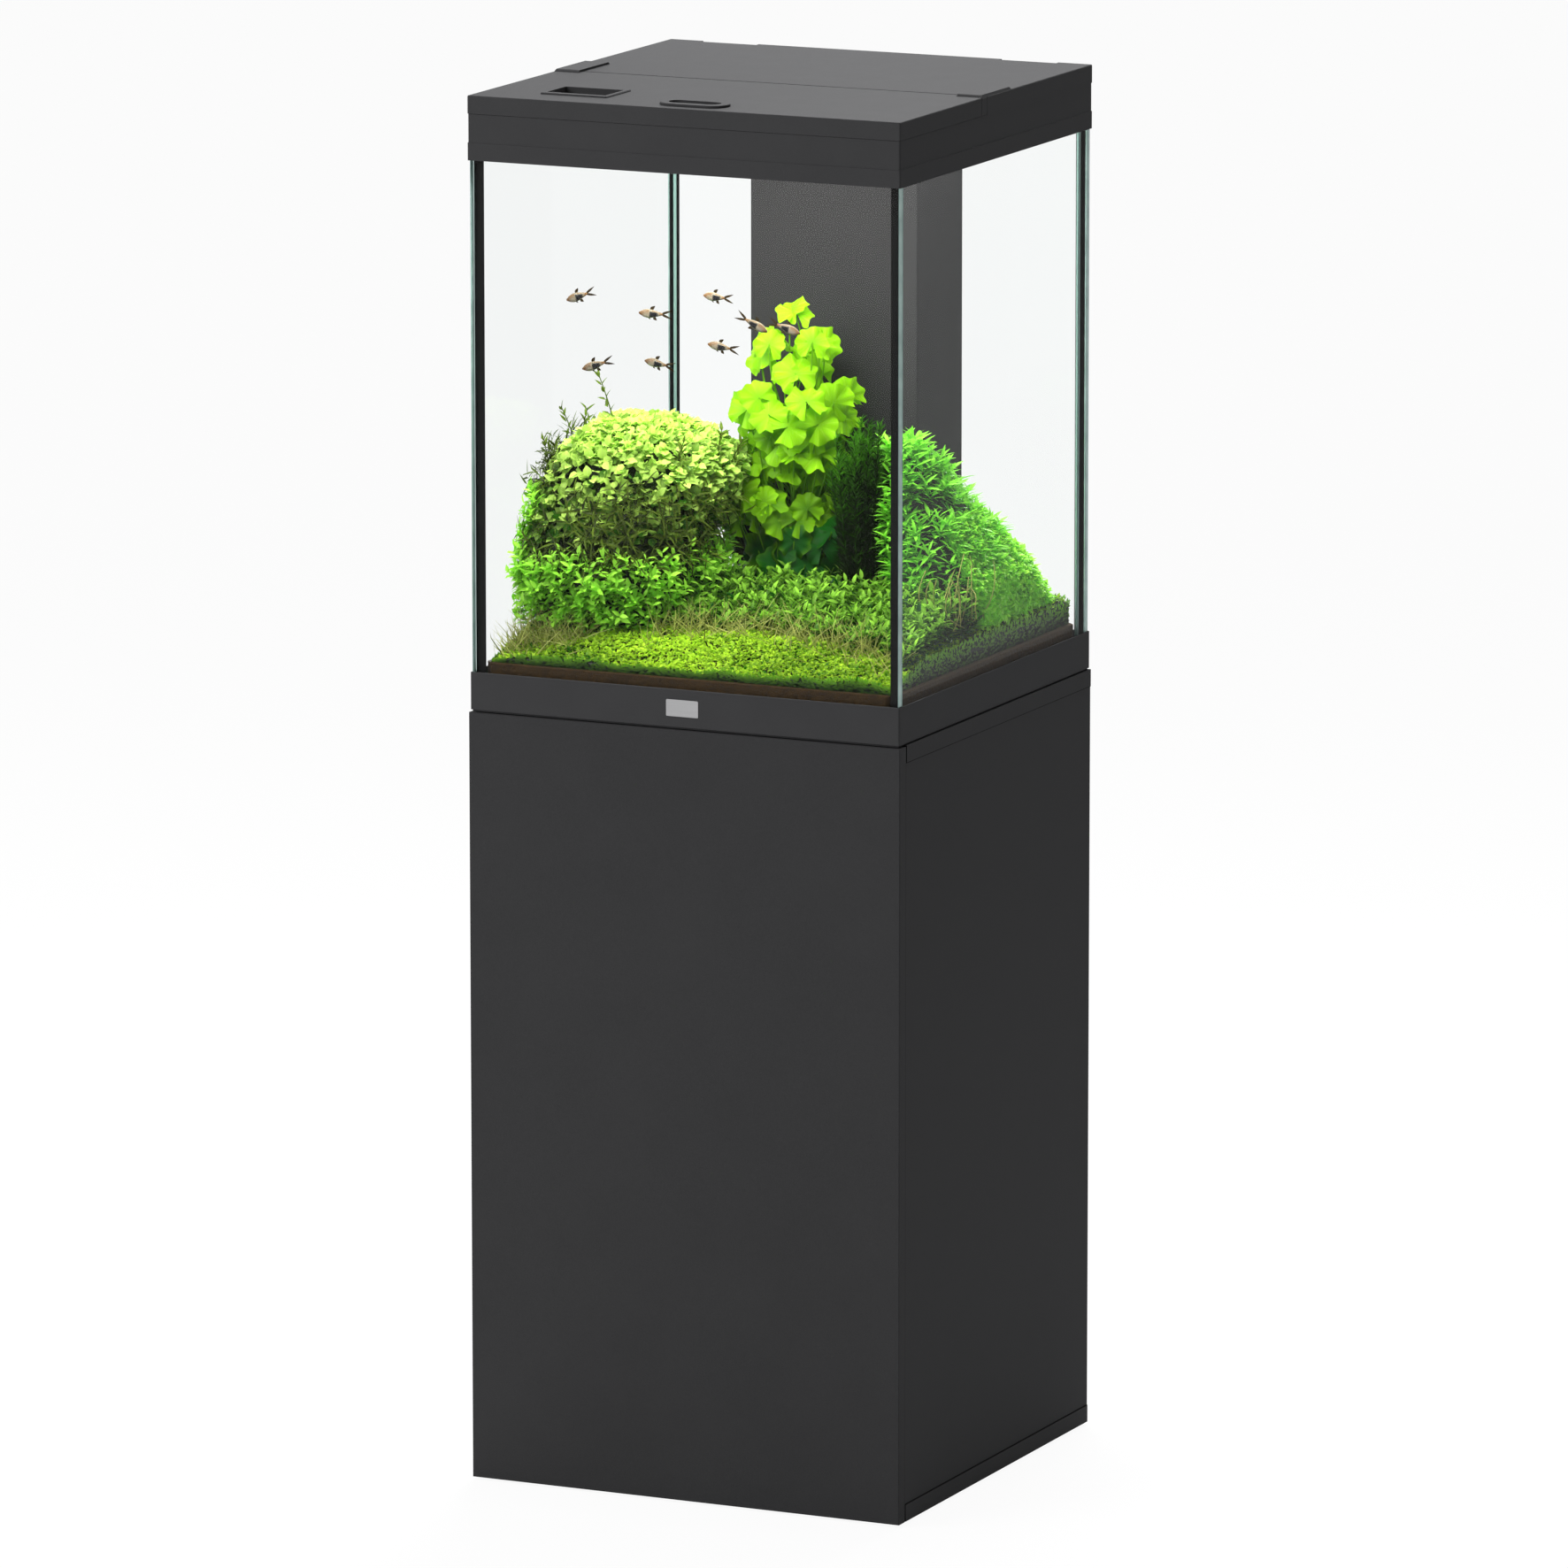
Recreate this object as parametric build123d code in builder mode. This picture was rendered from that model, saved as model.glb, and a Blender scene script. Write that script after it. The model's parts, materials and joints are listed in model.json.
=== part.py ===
from build123d import *
import math
import os

# Planted square aquarium with a hinged hood, standing on a one-door cabinet.
# Millimetres. X runs to the right along the door, Y to the back and Z up.
# The origin is on the floor, under the middle of the cabinet.

os.makedirs("parts", exist_ok=True)

# Cabinet boards
footprint = 510.0
half = footprint / 2
board = 19.0
side_board = 16.0
door_board = 16.0
door_gap = 2.0
side_inset = 1.0
glide_height = 3.0
carcass_height = 850.0
edge_break = 0.8

cabinet_top = glide_height + carcass_height
inner_bottom = glide_height + board
inner_top = cabinet_top - board
door_front = -half
door_back = door_front + door_board
carcass_front = door_back + door_gap
carcass_depth = half - carcass_front
carcass_mid = (half + carcass_front) / 2
side_outer = half - side_inset
side_inner = side_outer - side_board
side_mid = (side_outer + side_inner) / 2
back_inset = 2.0
back_outer = half - back_inset
back_inner = back_outer - side_board

# Flat-pack fittings: cam locks, their bolts and wooden dowels
cam_diameter = 15.0
cam_depth = 12.5
cam_drop = 34.0
bolt_diameter = 6.0
bolt_in_board = 12.0
dowel_diameter = 8.0
dowel_length = 30.0
fit = 0.1
cam_rows = (carcass_front + 60, back_inner - 60)
dowel_rows = (carcass_front + 130, back_inner - 130)
cam_levels = (inner_bottom + cam_drop, inner_top - cam_drop)
bolt_spots = [(side * side_mid, row) for side in (-1, 1) for row in cam_rows]
dowel_spots = [(side * side_mid, row) for side in (-1, 1) for row in dowel_rows]
glide_spots = [(x, y) for x in (-215, 215) for y in (carcass_front + 40, half - 40)]

# Shelf and the cable port in the back
shelf_level = 430.0
shelf_gap = 0.5
shelf_front = carcass_front + 14
pin_diameter = 4.9
pin_rows = (carcass_front + 70, back_inner - 50)
port_diameter = 60.0
port_x = 140.0
port_z = 745.0
grommet_wall = 3.0
grommet_flange = 6.0

# Concealed cup hinges on the left edge of the door
hinge_levels = (112.0, 742.0)
cup_diameter = 35.0
cup_depth = 12.0
cup_margin = 3.5
cup_wall = 1.2
cup_flange = 1.0
cup_x = door_front + cup_margin + cup_diameter / 2
arm_pivot = (-half + 26.0, carcass_front + 3.0)
cup_pivot = (-half + 8.6, carcass_front - 7.0)
hinge_pin = 3.0
pivot_play = 0.15
link_width = 7.6
link_thickness = 2.0
ear_thickness = 1.5
ear_gap = 0.3
ear_radius = 3.2
plate_thickness = 3.0
plate_screw_rows = (-16.0, 16.0)
cup_screw_rows = (-24.0, 24.0)
cup_screw_x = cup_x + 6.0
screw_diameter = 3.5

# Push latch for the door that has no handle
latch_level = 640.0
latch_length = 62.0
latch_width = 20.0
latch_depth = 14.0
plunger_diameter = 9.0
strike_thickness = 1.0

# Tank
gap_step = 2.0
base_height = 41.0
base_half = 253.7
glass_half = 252.0
glass = 8.0
joint = 1.0
frame_fit = 0.2
base_shelf_top = cabinet_top + 8.0
base_top = cabinet_top + gap_step + base_height
bottom_glass = 10.0
tank_floor = base_shelf_top + bottom_glass
glass_top = 1467.0
glass_inner = glass_half - glass
rim_bottom = 1452.0
rim_top = 1471.3
rim_half = 254.0
bead = 5.0
bead_top = 1455.0
badge_width = 38.0
badge_height = 18.5
badge_z = 875.6
badge_thickness = 0.9

# Planting
soil_top = 906.0
carpet_front = 916.0
carpet_top = 940.0
carpet_brow = -150.0
plant_clear = 0.5

# Filter column at the back glass
filter_left = -94.0
filter_right = 106.0
filter_front = 119.0
filter_back = 240.0
filter_wall = 3.0
filter_top = 1462.0
partition_x = 50.0
pump_x = -36.0
pump_y = 182.0
pump_z = 1392.0
impeller_radius = 15.0
magnet_radius = 9.0

# Hood
band_half = 253.4
band_top = 1502.0
lid_half = 254.0
lid_top = 1522.0
lid_plate = 3.0
lid_wall = 2.5
flap_lift = 0.4
lid_edge = 1.5
divider_y = -30.0
divider_gap = 3.0
flap_back = divider_y - divider_gap / 2
cover_front = divider_y + divider_gap / 2
flap_axis_y = -36.0
flap_axis_z = lid_top - 3.5
nose_radius = 6.5
pad_inner = 224.0
pad_rise = 2.5
pad_back = 36.0
notch_play = 0.3
notch_front = flap_axis_y - nose_radius - 1.0
boss_radius = 3.3
flap_pin = 3.0
cable_notch_width = 68.0
cable_notch_depth = 8.0
cable_notch_x = 180.0
feeder_x = -148.0
feeder_y = -181.5
feeder_outer = (79.0, 62.0)
feeder_inner = (69.0, 46.0)
feeder_wall = 2.0
feeder_rise = 1.8
feeder_drop = 16.0
hatch_thickness = 2.4
hatch_axis_z = lid_top - 8.2
hatch_axis_y = feeder_y + feeder_inner[1] / 2 - 2.0
hatch_pin = 2.0
grip_y = -221.0
grip_outer = (79.0, 39.0)
grip_slot = (60.0, 20.0)
grip_rise = 3.0
grip_depth = 15.0
led_y = -100.0
led_half = 205.0
led_width = 42.0
led_bottom = 1478.0
led_height = 12.0


# Cabinet carcass

with BuildPart() as cabinet_top_panel:
    with BuildSketch(Plane.XY.offset(inner_top)):
        with Locations((0, carcass_mid)):
            Rectangle(footprint, carcass_depth)
    extrude(amount=board)
    chamfer(edges().filter_by(Axis.Z), edge_break)
    with BuildSketch(Plane.XY.offset(inner_top)):
        with Locations(*bolt_spots):
            Circle(bolt_diameter / 2 + fit)
    extrude(amount=bolt_in_board, mode=Mode.SUBTRACT)
    with BuildSketch(Plane.XY.offset(inner_top)):
        with Locations(*dowel_spots):
            Circle(dowel_diameter / 2 + fit)
    extrude(amount=dowel_length / 2, mode=Mode.SUBTRACT)
cabinet_top_panel.part.label = "cabinet_top_panel"
export_step(cabinet_top_panel.part, "parts/cabinet_top_panel.step")

glide_stem = 7.8
glide_stem_length = 9.5
with BuildPart() as cabinet_bottom_panel:
    with BuildSketch(Plane.XY.offset(glide_height)):
        with Locations((0, carcass_mid)):
            Rectangle(footprint, carcass_depth)
    extrude(amount=board)
    chamfer(edges().filter_by(Axis.Z), edge_break)
    with BuildSketch(Plane.XY.offset(inner_bottom)):
        with Locations(*bolt_spots):
            Circle(bolt_diameter / 2 + fit)
    extrude(amount=-bolt_in_board, mode=Mode.SUBTRACT)
    with BuildSketch(Plane.XY.offset(inner_bottom)):
        with Locations(*dowel_spots):
            Circle(dowel_diameter / 2 + fit)
    extrude(amount=-dowel_length / 2, mode=Mode.SUBTRACT)
    with BuildSketch(Plane.XY.offset(glide_height)):
        with Locations(*glide_spots):
            Circle(glide_stem / 2 + fit)
    extrude(amount=glide_stem_length + fit, mode=Mode.SUBTRACT)
cabinet_bottom_panel.part.label = "cabinet_bottom_panel"
export_step(cabinet_bottom_panel.part, "parts/cabinet_bottom_panel.step")

# Each side board stands between top and bottom boards and is drilled for its fittings
pin_hole_depth = 10.0
pin_axis_z = shelf_level - pin_diameter / 2
with BuildPart() as cabinet_right_side:
    with BuildSketch(Plane.XY.offset(inner_bottom)):
        with Locations((side_mid, carcass_mid)):
            Rectangle(side_board, carcass_depth)
    extrude(amount=inner_top - inner_bottom)
    with BuildSketch(Plane.YZ.offset(side_inner)):
        with Locations(*[(row, level) for row in cam_rows for level in cam_levels]):
            Circle(cam_diameter / 2 + fit)
    extrude(amount=cam_depth + fit, mode=Mode.SUBTRACT)
    with BuildSketch(Plane.YZ.offset(side_inner)):
        with Locations(*[(row, pin_axis_z) for row in pin_rows]):
            Circle(pin_diameter / 2 + fit)
    extrude(amount=pin_hole_depth, mode=Mode.SUBTRACT)
    for end, direction in ((inner_bottom, 1), (inner_top, -1)):
        with BuildSketch(Plane.XY.offset(end)):
            with Locations(*[(side_mid, row) for row in cam_rows]):
                Circle(bolt_diameter / 2 + fit)
        extrude(amount=direction * cam_drop, mode=Mode.SUBTRACT)
        with BuildSketch(Plane.XY.offset(end)):
            with Locations(*[(side_mid, row) for row in dowel_rows]):
                Circle(dowel_diameter / 2 + fit)
        extrude(amount=direction * dowel_length / 2, mode=Mode.SUBTRACT)
cabinet_right_side.part.label = "cabinet_right_side"
export_step(cabinet_right_side.part, "parts/cabinet_right_side.step")

plate_drill_y = carcass_front + 37.0
plate_screw_length = 12.0
with BuildPart() as cabinet_left_side:
    mirror(cabinet_right_side.part, about=Plane.YZ)
    with BuildSketch(Plane.YZ.offset(-side_inner)):
        with Locations(*[(plate_drill_y, z + row) for z in hinge_levels for row in plate_screw_rows]):
            Circle(screw_diameter / 2 + fit)
    extrude(amount=-plate_screw_length - fit, mode=Mode.SUBTRACT)
cabinet_left_side.part.label = "cabinet_left_side"
export_step(cabinet_left_side.part, "parts/cabinet_left_side.step")

with BuildPart() as cabinet_back_panel:
    with BuildSketch(Plane.XZ.offset(-back_inner)):
        with Locations((0, (inner_bottom + inner_top) / 2)):
            Rectangle(2 * side_inner, inner_top - inner_bottom)
        with Locations((port_x, port_z)):
            Circle(port_diameter / 2, mode=Mode.SUBTRACT)
    extrude(amount=-side_board)
cabinet_back_panel.part.label = "cabinet_back_panel"
export_step(cabinet_back_panel.part, "parts/cabinet_back_panel.step")

# Plastic liner of the cable port, with a flange on the outside of the back
grommet_radius = port_diameter / 2 - fit
with BuildPart() as cable_grommet:
    with BuildSketch(Plane.XZ.offset(-back_inner)):
        with Locations((port_x, port_z)):
            Circle(grommet_radius)
            Circle(grommet_radius - grommet_wall, mode=Mode.SUBTRACT)
    extrude(amount=-side_board)
    with BuildSketch(Plane.XZ.offset(-back_outer)):
        with Locations((port_x, port_z)):
            Circle(grommet_radius + grommet_flange)
            Circle(grommet_radius - grommet_wall, mode=Mode.SUBTRACT)
    extrude(amount=-back_inset + fit)
cable_grommet.part.label = "cable_grommet"
export_step(cable_grommet.part, "parts/cable_grommet.step")

with BuildPart() as cabinet_shelf:
    with BuildSketch(Plane.XY.offset(shelf_level)):
        with Locations((0, (shelf_front + back_inner - shelf_gap) / 2)):
            Rectangle(2 * (side_inner - shelf_gap), back_inner - shelf_gap - shelf_front)
    extrude(amount=side_board)
    chamfer(edges().filter_by(Axis.X).group_by(Axis.Y)[0], edge_break)
cabinet_shelf.part.label = "cabinet_shelf"
export_step(cabinet_shelf.part, "parts/cabinet_shelf.step")

# Spoon-shaped shelf pins: a round shank in the side board and a flat under the shelf
spoon_length = 12.0
spoon_width = 9.0
spoon_thickness = 2.0
with BuildPart() as shelf_pins:
    for side in (-1, 1):
        with BuildSketch(Plane.YZ.offset(side * (side_inner - spoon_length))):
            with Locations(*[(row, pin_axis_z) for row in pin_rows]):
                Circle(pin_diameter / 2)
        extrude(amount=side * (spoon_length + pin_hole_depth - 1))
        with BuildSketch(Plane.XY.offset(shelf_level)):
            with Locations(*[(side * (side_inner - spoon_length / 2), row) for row in pin_rows]):
                Rectangle(spoon_length - 2 * fit, spoon_width)
        extrude(amount=-spoon_thickness)
shelf_pins.part.label = "shelf_pins"
export_step(shelf_pins.part, "parts/shelf_pins.step")

# Cam locks: slotted discs let into the side boards, bored for the bolt's head
slot_width = 2.0
slot_depth = 2.0
with BuildPart() as cam_locks:
    for side in (-1, 1):
        with BuildSketch(Plane.YZ.offset(side * side_inner)):
            with Locations(*[(row, level) for row in cam_rows for level in cam_levels]):
                Circle(cam_diameter / 2)
        extrude(amount=side * cam_depth)
        with BuildSketch(Plane.YZ.offset(side * side_inner)):
            with Locations(*[(row, level) for row in cam_rows for level in cam_levels]):
                Rectangle(slot_width, cam_diameter * 0.7)
                Rectangle(cam_diameter * 0.7, slot_width)
        extrude(amount=side * slot_depth, mode=Mode.SUBTRACT)
    for level, direction in zip(cam_levels, (-1, 1)):
        with BuildSketch(Plane.XY.offset(level)):
            with Locations(*bolt_spots):
                Circle(bolt_diameter / 2 + fit)
        extrude(amount=direction * cam_diameter, mode=Mode.SUBTRACT)
cam_locks.part.label = "cam_locks"
export_step(cam_locks.part, "parts/cam_locks.step")

bolt_neck = 3.5
bolt_head = 4.0
with BuildPart() as cam_bolts:
    for level, direction in zip(cam_levels, (-1, 1)):
        with BuildSketch(Plane.XY.offset(level + direction)):
            with Locations(*bolt_spots):
                Circle(bolt_diameter / 2)
        extrude(amount=direction * bolt_head)
        with BuildSketch(Plane.XY.offset(level + direction)):
            with Locations(*bolt_spots):
                Circle(bolt_neck / 2)
        extrude(amount=direction * (cam_drop - 2))
        with BuildSketch(Plane.XY.offset(level + direction * (cam_drop - 2))):
            with Locations(*bolt_spots):
                Circle(bolt_diameter / 2)
        extrude(amount=direction * (bolt_in_board + 1.5))
cam_bolts.part.label = "cam_bolts"
export_step(cam_bolts.part, "parts/cam_bolts.step")

with BuildPart() as wood_dowels:
    for end in (inner_bottom, inner_top):
        with BuildSketch(Plane.XY.offset(end - dowel_length / 2 + 1)):
            with Locations(*dowel_spots):
                Circle(dowel_diameter / 2)
        extrude(amount=dowel_length - 2)
wood_dowels.part.label = "wood_dowels"
export_step(wood_dowels.part, "parts/wood_dowels.step")

# Push-in glides keep the boards and the door off the floor
glide_radius = 15.0
with BuildPart() as floor_glides:
    with BuildSketch(Plane.XY):
        with Locations(*glide_spots):
            Circle(glide_radius)
    extrude(amount=glide_height)
    chamfer(edges().group_by(Axis.Z)[0], 1)
    with BuildSketch(Plane.XY.offset(glide_height)):
        with Locations(*glide_spots):
            Circle(glide_stem / 2)
    extrude(amount=glide_stem_length)
floor_glides.part.label = "floor_glides"
export_step(floor_glides.part, "parts/floor_glides.step")


# Door and its concealed hinges

door_top = cabinet_top - 1.0
door_height = door_top - glide_height
cup_spots = [(cup_x, z) for z in hinge_levels]
cup_screw_spots = [(cup_screw_x, z + row) for z in hinge_levels for row in cup_screw_rows]
cup_screw_length = 11.0
with BuildPart() as cabinet_door:
    with BuildSketch(Plane.XZ.offset(-door_front)):
        with Locations((0, glide_height + door_height / 2)):
            Rectangle(footprint, door_height)
    extrude(amount=-door_board)
    chamfer(faces().sort_by(Axis.Y)[0].edges(), edge_break)
    with BuildSketch(Plane.XZ.offset(-door_back)):
        with Locations(*cup_spots):
            Circle(cup_diameter / 2 + fit)
    extrude(amount=cup_depth + fit, mode=Mode.SUBTRACT)
    with BuildSketch(Plane.XZ.offset(-door_back)):
        with Locations(*cup_screw_spots):
            Circle(screw_diameter / 2 + fit)
    extrude(amount=cup_screw_length, mode=Mode.SUBTRACT)
cabinet_door.part.label = "cabinet_door"
export_step(cabinet_door.part, "parts/cabinet_door.step")

# Hinge cup: pressed bowl let into the door, with a winged flange for two screws
# and a riveted cross pin that the link turns on
flange_width = 10.0
flange_height = 58.0
flange_lap = 1.0
screw_head = 6.4
cup_pin_half = math.sqrt((cup_diameter / 2) ** 2 - (cup_x - cup_pivot[0] + hinge_pin / 2) ** 2)
with BuildPart() as hinge_cups:
    with BuildSketch(Plane.XZ.offset(-door_back)):
        with Locations(*cup_spots):
            Circle(cup_diameter / 2)
    extrude(amount=cup_depth)
    with BuildSketch(Plane.XZ.offset(-door_back)):
        with Locations(*cup_spots):
            Circle(cup_diameter / 2 + flange_lap)
        with Locations(*[(cup_screw_x, z) for z in hinge_levels]):
            RectangleRounded(flange_width, flange_height, 0.49 * flange_width)
    extrude(amount=-cup_flange)
    with BuildSketch(Plane.XZ.offset(-door_back - cup_flange)):
        with Locations(*cup_spots):
            Circle(cup_diameter / 2 - cup_wall)
    extrude(amount=cup_flange + cup_depth - cup_wall, mode=Mode.SUBTRACT)
    with BuildSketch(Plane.XZ.offset(-door_back - cup_flange)):
        with Locations(*cup_screw_spots):
            Circle(screw_head / 2 + fit)
    extrude(amount=cup_flange, mode=Mode.SUBTRACT)
    for z in hinge_levels:
        with BuildSketch(Plane.XY.offset(z - cup_pin_half)):
            with Locations(cup_pivot):
                Circle(hinge_pin / 2)
        extrude(amount=2 * cup_pin_half)
hinge_cups.part.label = "hinge_cups"
export_step(hinge_cups.part, "parts/hinge_cups.step")

with BuildPart() as cup_screws:
    with BuildSketch(Plane.XZ.offset(-door_back - cup_flange)):
        with Locations(*cup_screw_spots):
            Circle(screw_head / 2)
    extrude(amount=cup_flange)
    with BuildSketch(Plane.XZ.offset(-door_back)):
        with Locations(*cup_screw_spots):
            Circle(screw_diameter / 2)
    extrude(amount=cup_screw_length - 1)
cup_screws.part.label = "cup_screws"
export_step(cup_screws.part, "parts/cup_screws.step")

# Mounting plate: a narrow foot with two screw wings on the side board
plate_front = carcass_front + 14.0
plate_back = carcass_front + 62.0
plate_half = 8.5
wing_length = 12.0
wing_half = 22.0
with BuildPart() as hinge_plates:
    with BuildSketch(Plane.YZ.offset(-side_inner)):
        for z in hinge_levels:
            with Locations(((plate_front + plate_back) / 2, z)):
                RectangleRounded(plate_back - plate_front, 2 * plate_half, 2)
            with Locations((plate_drill_y, z)):
                RectangleRounded(wing_length, 2 * wing_half, 5)
    extrude(amount=plate_thickness)
    with BuildSketch(Plane.YZ.offset(-side_inner)):
        with Locations(*[(plate_drill_y, z + row) for z in hinge_levels for row in plate_screw_rows]):
            Circle(screw_diameter / 2 + fit)
    extrude(amount=plate_thickness, mode=Mode.SUBTRACT)
hinge_plates.part.label = "hinge_plates"
export_step(hinge_plates.part, "parts/hinge_plates.step")

with BuildPart() as plate_screws:
    with BuildSketch(Plane.YZ.offset(-side_inner + plate_thickness)):
        with Locations(*[(plate_drill_y, z + row) for z in hinge_levels for row in plate_screw_rows]):
            Circle(screw_head / 2)
    extrude(amount=1.6)
    with BuildSketch(Plane.YZ.offset(-side_inner + plate_thickness)):
        with Locations(*[(plate_drill_y, z + row) for z in hinge_levels for row in plate_screw_rows]):
            Circle(screw_diameter / 2)
    extrude(amount=-plate_thickness - plate_screw_length + 0.5)
plate_screws.part.label = "plate_screws"
export_step(plate_screws.part, "parts/plate_screws.step")

# Hinge arm: a channel along the plate whose two walls run forward as ears round the pivot
arm_floor_x = -side_inner + plate_thickness
arm_height = 8.0
arm_back = plate_back + 4.0
ear_inner = link_width / 2 + ear_gap
ear_outer = ear_inner + ear_thickness
arm_web = 2.0
web_front = carcass_front + 16.0
with BuildPart() as hinge_arms:
    for z in hinge_levels:
        for low in (z - ear_outer, z + ear_inner):
            with BuildSketch(Plane.XY.offset(low)):
                with BuildLine():
                    Polyline(
                        (arm_pivot[0] + ear_radius, arm_pivot[1]),
                        (arm_floor_x + arm_height + 1, web_front),
                        (arm_floor_x + arm_height, arm_back),
                        (arm_floor_x, arm_back),
                        (arm_floor_x, web_front),
                        (arm_pivot[0] - ear_radius, arm_pivot[1]),
                    )
                    RadiusArc(
                        (arm_pivot[0] + ear_radius, arm_pivot[1]),
                        (arm_pivot[0] - ear_radius, arm_pivot[1]),
                        ear_radius,
                    )
                make_face()
                with Locations(arm_pivot):
                    Circle(hinge_pin / 2, mode=Mode.SUBTRACT)
            extrude(amount=ear_thickness)
        with BuildSketch(Plane.XY.offset(z - ear_inner)):
            with Locations((arm_floor_x + arm_height - arm_web / 2, (web_front + arm_back) / 2)):
                Rectangle(arm_web, arm_back - web_front)
        extrude(amount=2 * ear_inner)
hinge_arms.part.label = "hinge_arms"
export_step(hinge_arms.part, "parts/hinge_arms.step")

# Gooseneck link: it leaves the cup, dips under the door's edge as the door opens,
# and turns on the arm's pin
cup_eye = 2.5
arm_eye = 2.9
neck = ((4.0, -1.2), (7.9, -1.2), (11.4, 1.4), (14.2, 6.0))
with BuildPart() as hinge_links:
    for z in hinge_levels:
        with BuildSketch(Plane.XY.offset(z - link_width / 2)):
            with BuildLine() as goose:
                Spline(
                    cup_pivot,
                    *[(cup_pivot[0] + u, cup_pivot[1] + w) for u, w in neck],
                    arm_pivot,
                )
            trace(line_width=link_thickness)
            with Locations(cup_pivot):
                Circle(cup_eye)
            with Locations(arm_pivot):
                Circle(arm_eye)
            with Locations(cup_pivot, arm_pivot):
                Circle(hinge_pin / 2 + pivot_play, mode=Mode.SUBTRACT)
        extrude(amount=link_width)
hinge_links.part.label = "hinge_links"
export_step(hinge_links.part, "parts/hinge_links.step")

with BuildPart() as hinge_arm_pins:
    for z in hinge_levels:
        with BuildSketch(Plane.XY.offset(z - ear_outer)):
            with Locations(arm_pivot):
                Circle(hinge_pin / 2)
        extrude(amount=2 * ear_outer)
hinge_arm_pins.part.label = "hinge_arm_pins"
export_step(hinge_arm_pins.part, "parts/hinge_arm_pins.step")

# Push latch on the right side board: housing, sprung plunger and the door's strike plate
latch_x = side_inner - latch_depth / 2
latch_front = carcass_front + 3.0
tip_y = door_back + strike_thickness + 0.4
bore_depth = 46.0
with BuildPart() as push_latch_body:
    with BuildSketch(Plane.XZ.offset(-latch_front)):
        with Locations((latch_x, latch_level)):
            RectangleRounded(latch_depth, latch_width, 3)
    extrude(amount=-latch_length)
    with BuildSketch(Plane.XZ.offset(-latch_front)):
        with Locations((latch_x, latch_level)):
            Circle(plunger_diameter / 2 + 0.3)
    extrude(amount=-bore_depth, mode=Mode.SUBTRACT)
push_latch_body.part.label = "push_latch_body"
export_step(push_latch_body.part, "parts/push_latch_body.step")

plunger_length = 42.0
with BuildPart() as latch_plunger:
    with BuildSketch(Plane.XZ.offset(-tip_y)):
        with Locations((latch_x, latch_level)):
            Circle(plunger_diameter / 2)
    extrude(amount=-plunger_length)
    fillet(edges().group_by(Axis.Y)[0], 1)
latch_plunger.part.label = "latch_plunger"
export_step(latch_plunger.part, "parts/latch_plunger.step")

with BuildPart() as strike_plate:
    with BuildSketch(Plane.XZ.offset(-door_back)):
        with Locations((latch_x, latch_level)):
            RectangleRounded(16, 30, 4)
    extrude(amount=-strike_thickness)
strike_plate.part.label = "strike_plate"
export_step(strike_plate.part, "parts/strike_plate.step")


# Tank: base frame, glass, seams and rim

shelf_inner = 215.0
foot_half = base_half - 2.0
with BuildPart() as tank_base_frame:
    with BuildSketch(Plane.XY.offset(cabinet_top)):
        Rectangle(2 * foot_half, 2 * foot_half)
        Rectangle(2 * shelf_inner, 2 * shelf_inner, mode=Mode.SUBTRACT)
    extrude(amount=gap_step)
    with BuildSketch(Plane.XY.offset(cabinet_top + gap_step)):
        RectangleRounded(2 * base_half, 2 * base_half, 2)
        Rectangle(2 * shelf_inner, 2 * shelf_inner, mode=Mode.SUBTRACT)
    extrude(amount=base_height)
    fillet(edges().group_by(Axis.Z)[-1].sort_by(Edge.length)[-4:], 0.8)
    with BuildSketch(Plane.XY.offset(base_shelf_top)):
        Rectangle(2 * (glass_half + frame_fit), 2 * (glass_half + frame_fit))
    extrude(amount=base_top - base_shelf_top, mode=Mode.SUBTRACT)
tank_base_frame.part.label = "tank_base_frame"
export_step(tank_base_frame.part, "parts/tank_base_frame.step")

# Bare plate on the front of the base frame
with BuildPart() as badge_plate:
    with BuildSketch(Plane.XZ.offset(base_half)):
        with Locations((-1, badge_z)):
            RectangleRounded(badge_width, badge_height, 1.5)
    extrude(amount=badge_thickness)
    chamfer(faces().sort_by(Axis.Y)[0].edges(), 0.3)
badge_plate.part.label = "badge_plate"
export_step(badge_plate.part, "parts/badge_plate.step")

# Front and back panes run the full width, the side panes stand between them
pane_height = glass_top - base_shelf_top
ground_edge = 0.7
with BuildPart() as glass_front:
    with BuildSketch(Plane.XY.offset(base_shelf_top)):
        with Locations((0, -glass_half + glass / 2)):
            Rectangle(2 * glass_half, glass)
    extrude(amount=pane_height)
    chamfer(edges().filter_by(Axis.Z), ground_edge)
glass_front.part.label = "glass_front"
export_step(glass_front.part, "parts/glass_front.step")

with BuildPart() as glass_back:
    mirror(glass_front.part, about=Plane.XZ)
glass_back.part.label = "glass_back"
export_step(glass_back.part, "parts/glass_back.step")

with BuildPart() as glass_right:
    with BuildSketch(Plane.XY.offset(base_shelf_top)):
        with Locations((glass_half - glass / 2, 0)):
            Rectangle(glass, 2 * (glass_inner - joint))
    extrude(amount=pane_height)
    chamfer(edges().filter_by(Axis.Z), ground_edge)
glass_right.part.label = "glass_right"
export_step(glass_right.part, "parts/glass_right.step")

with BuildPart() as glass_left:
    mirror(glass_right.part, about=Plane.YZ)
glass_left.part.label = "glass_left"
export_step(glass_left.part, "parts/glass_left.step")

with BuildPart() as glass_bottom:
    with BuildSketch(Plane.XY.offset(base_shelf_top)):
        Rectangle(2 * (glass_inner - joint), 2 * (glass_inner - joint))
    extrude(amount=bottom_glass)
glass_bottom.part.label = "glass_bottom"
export_step(glass_bottom.part, "parts/glass_bottom.step")

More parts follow.
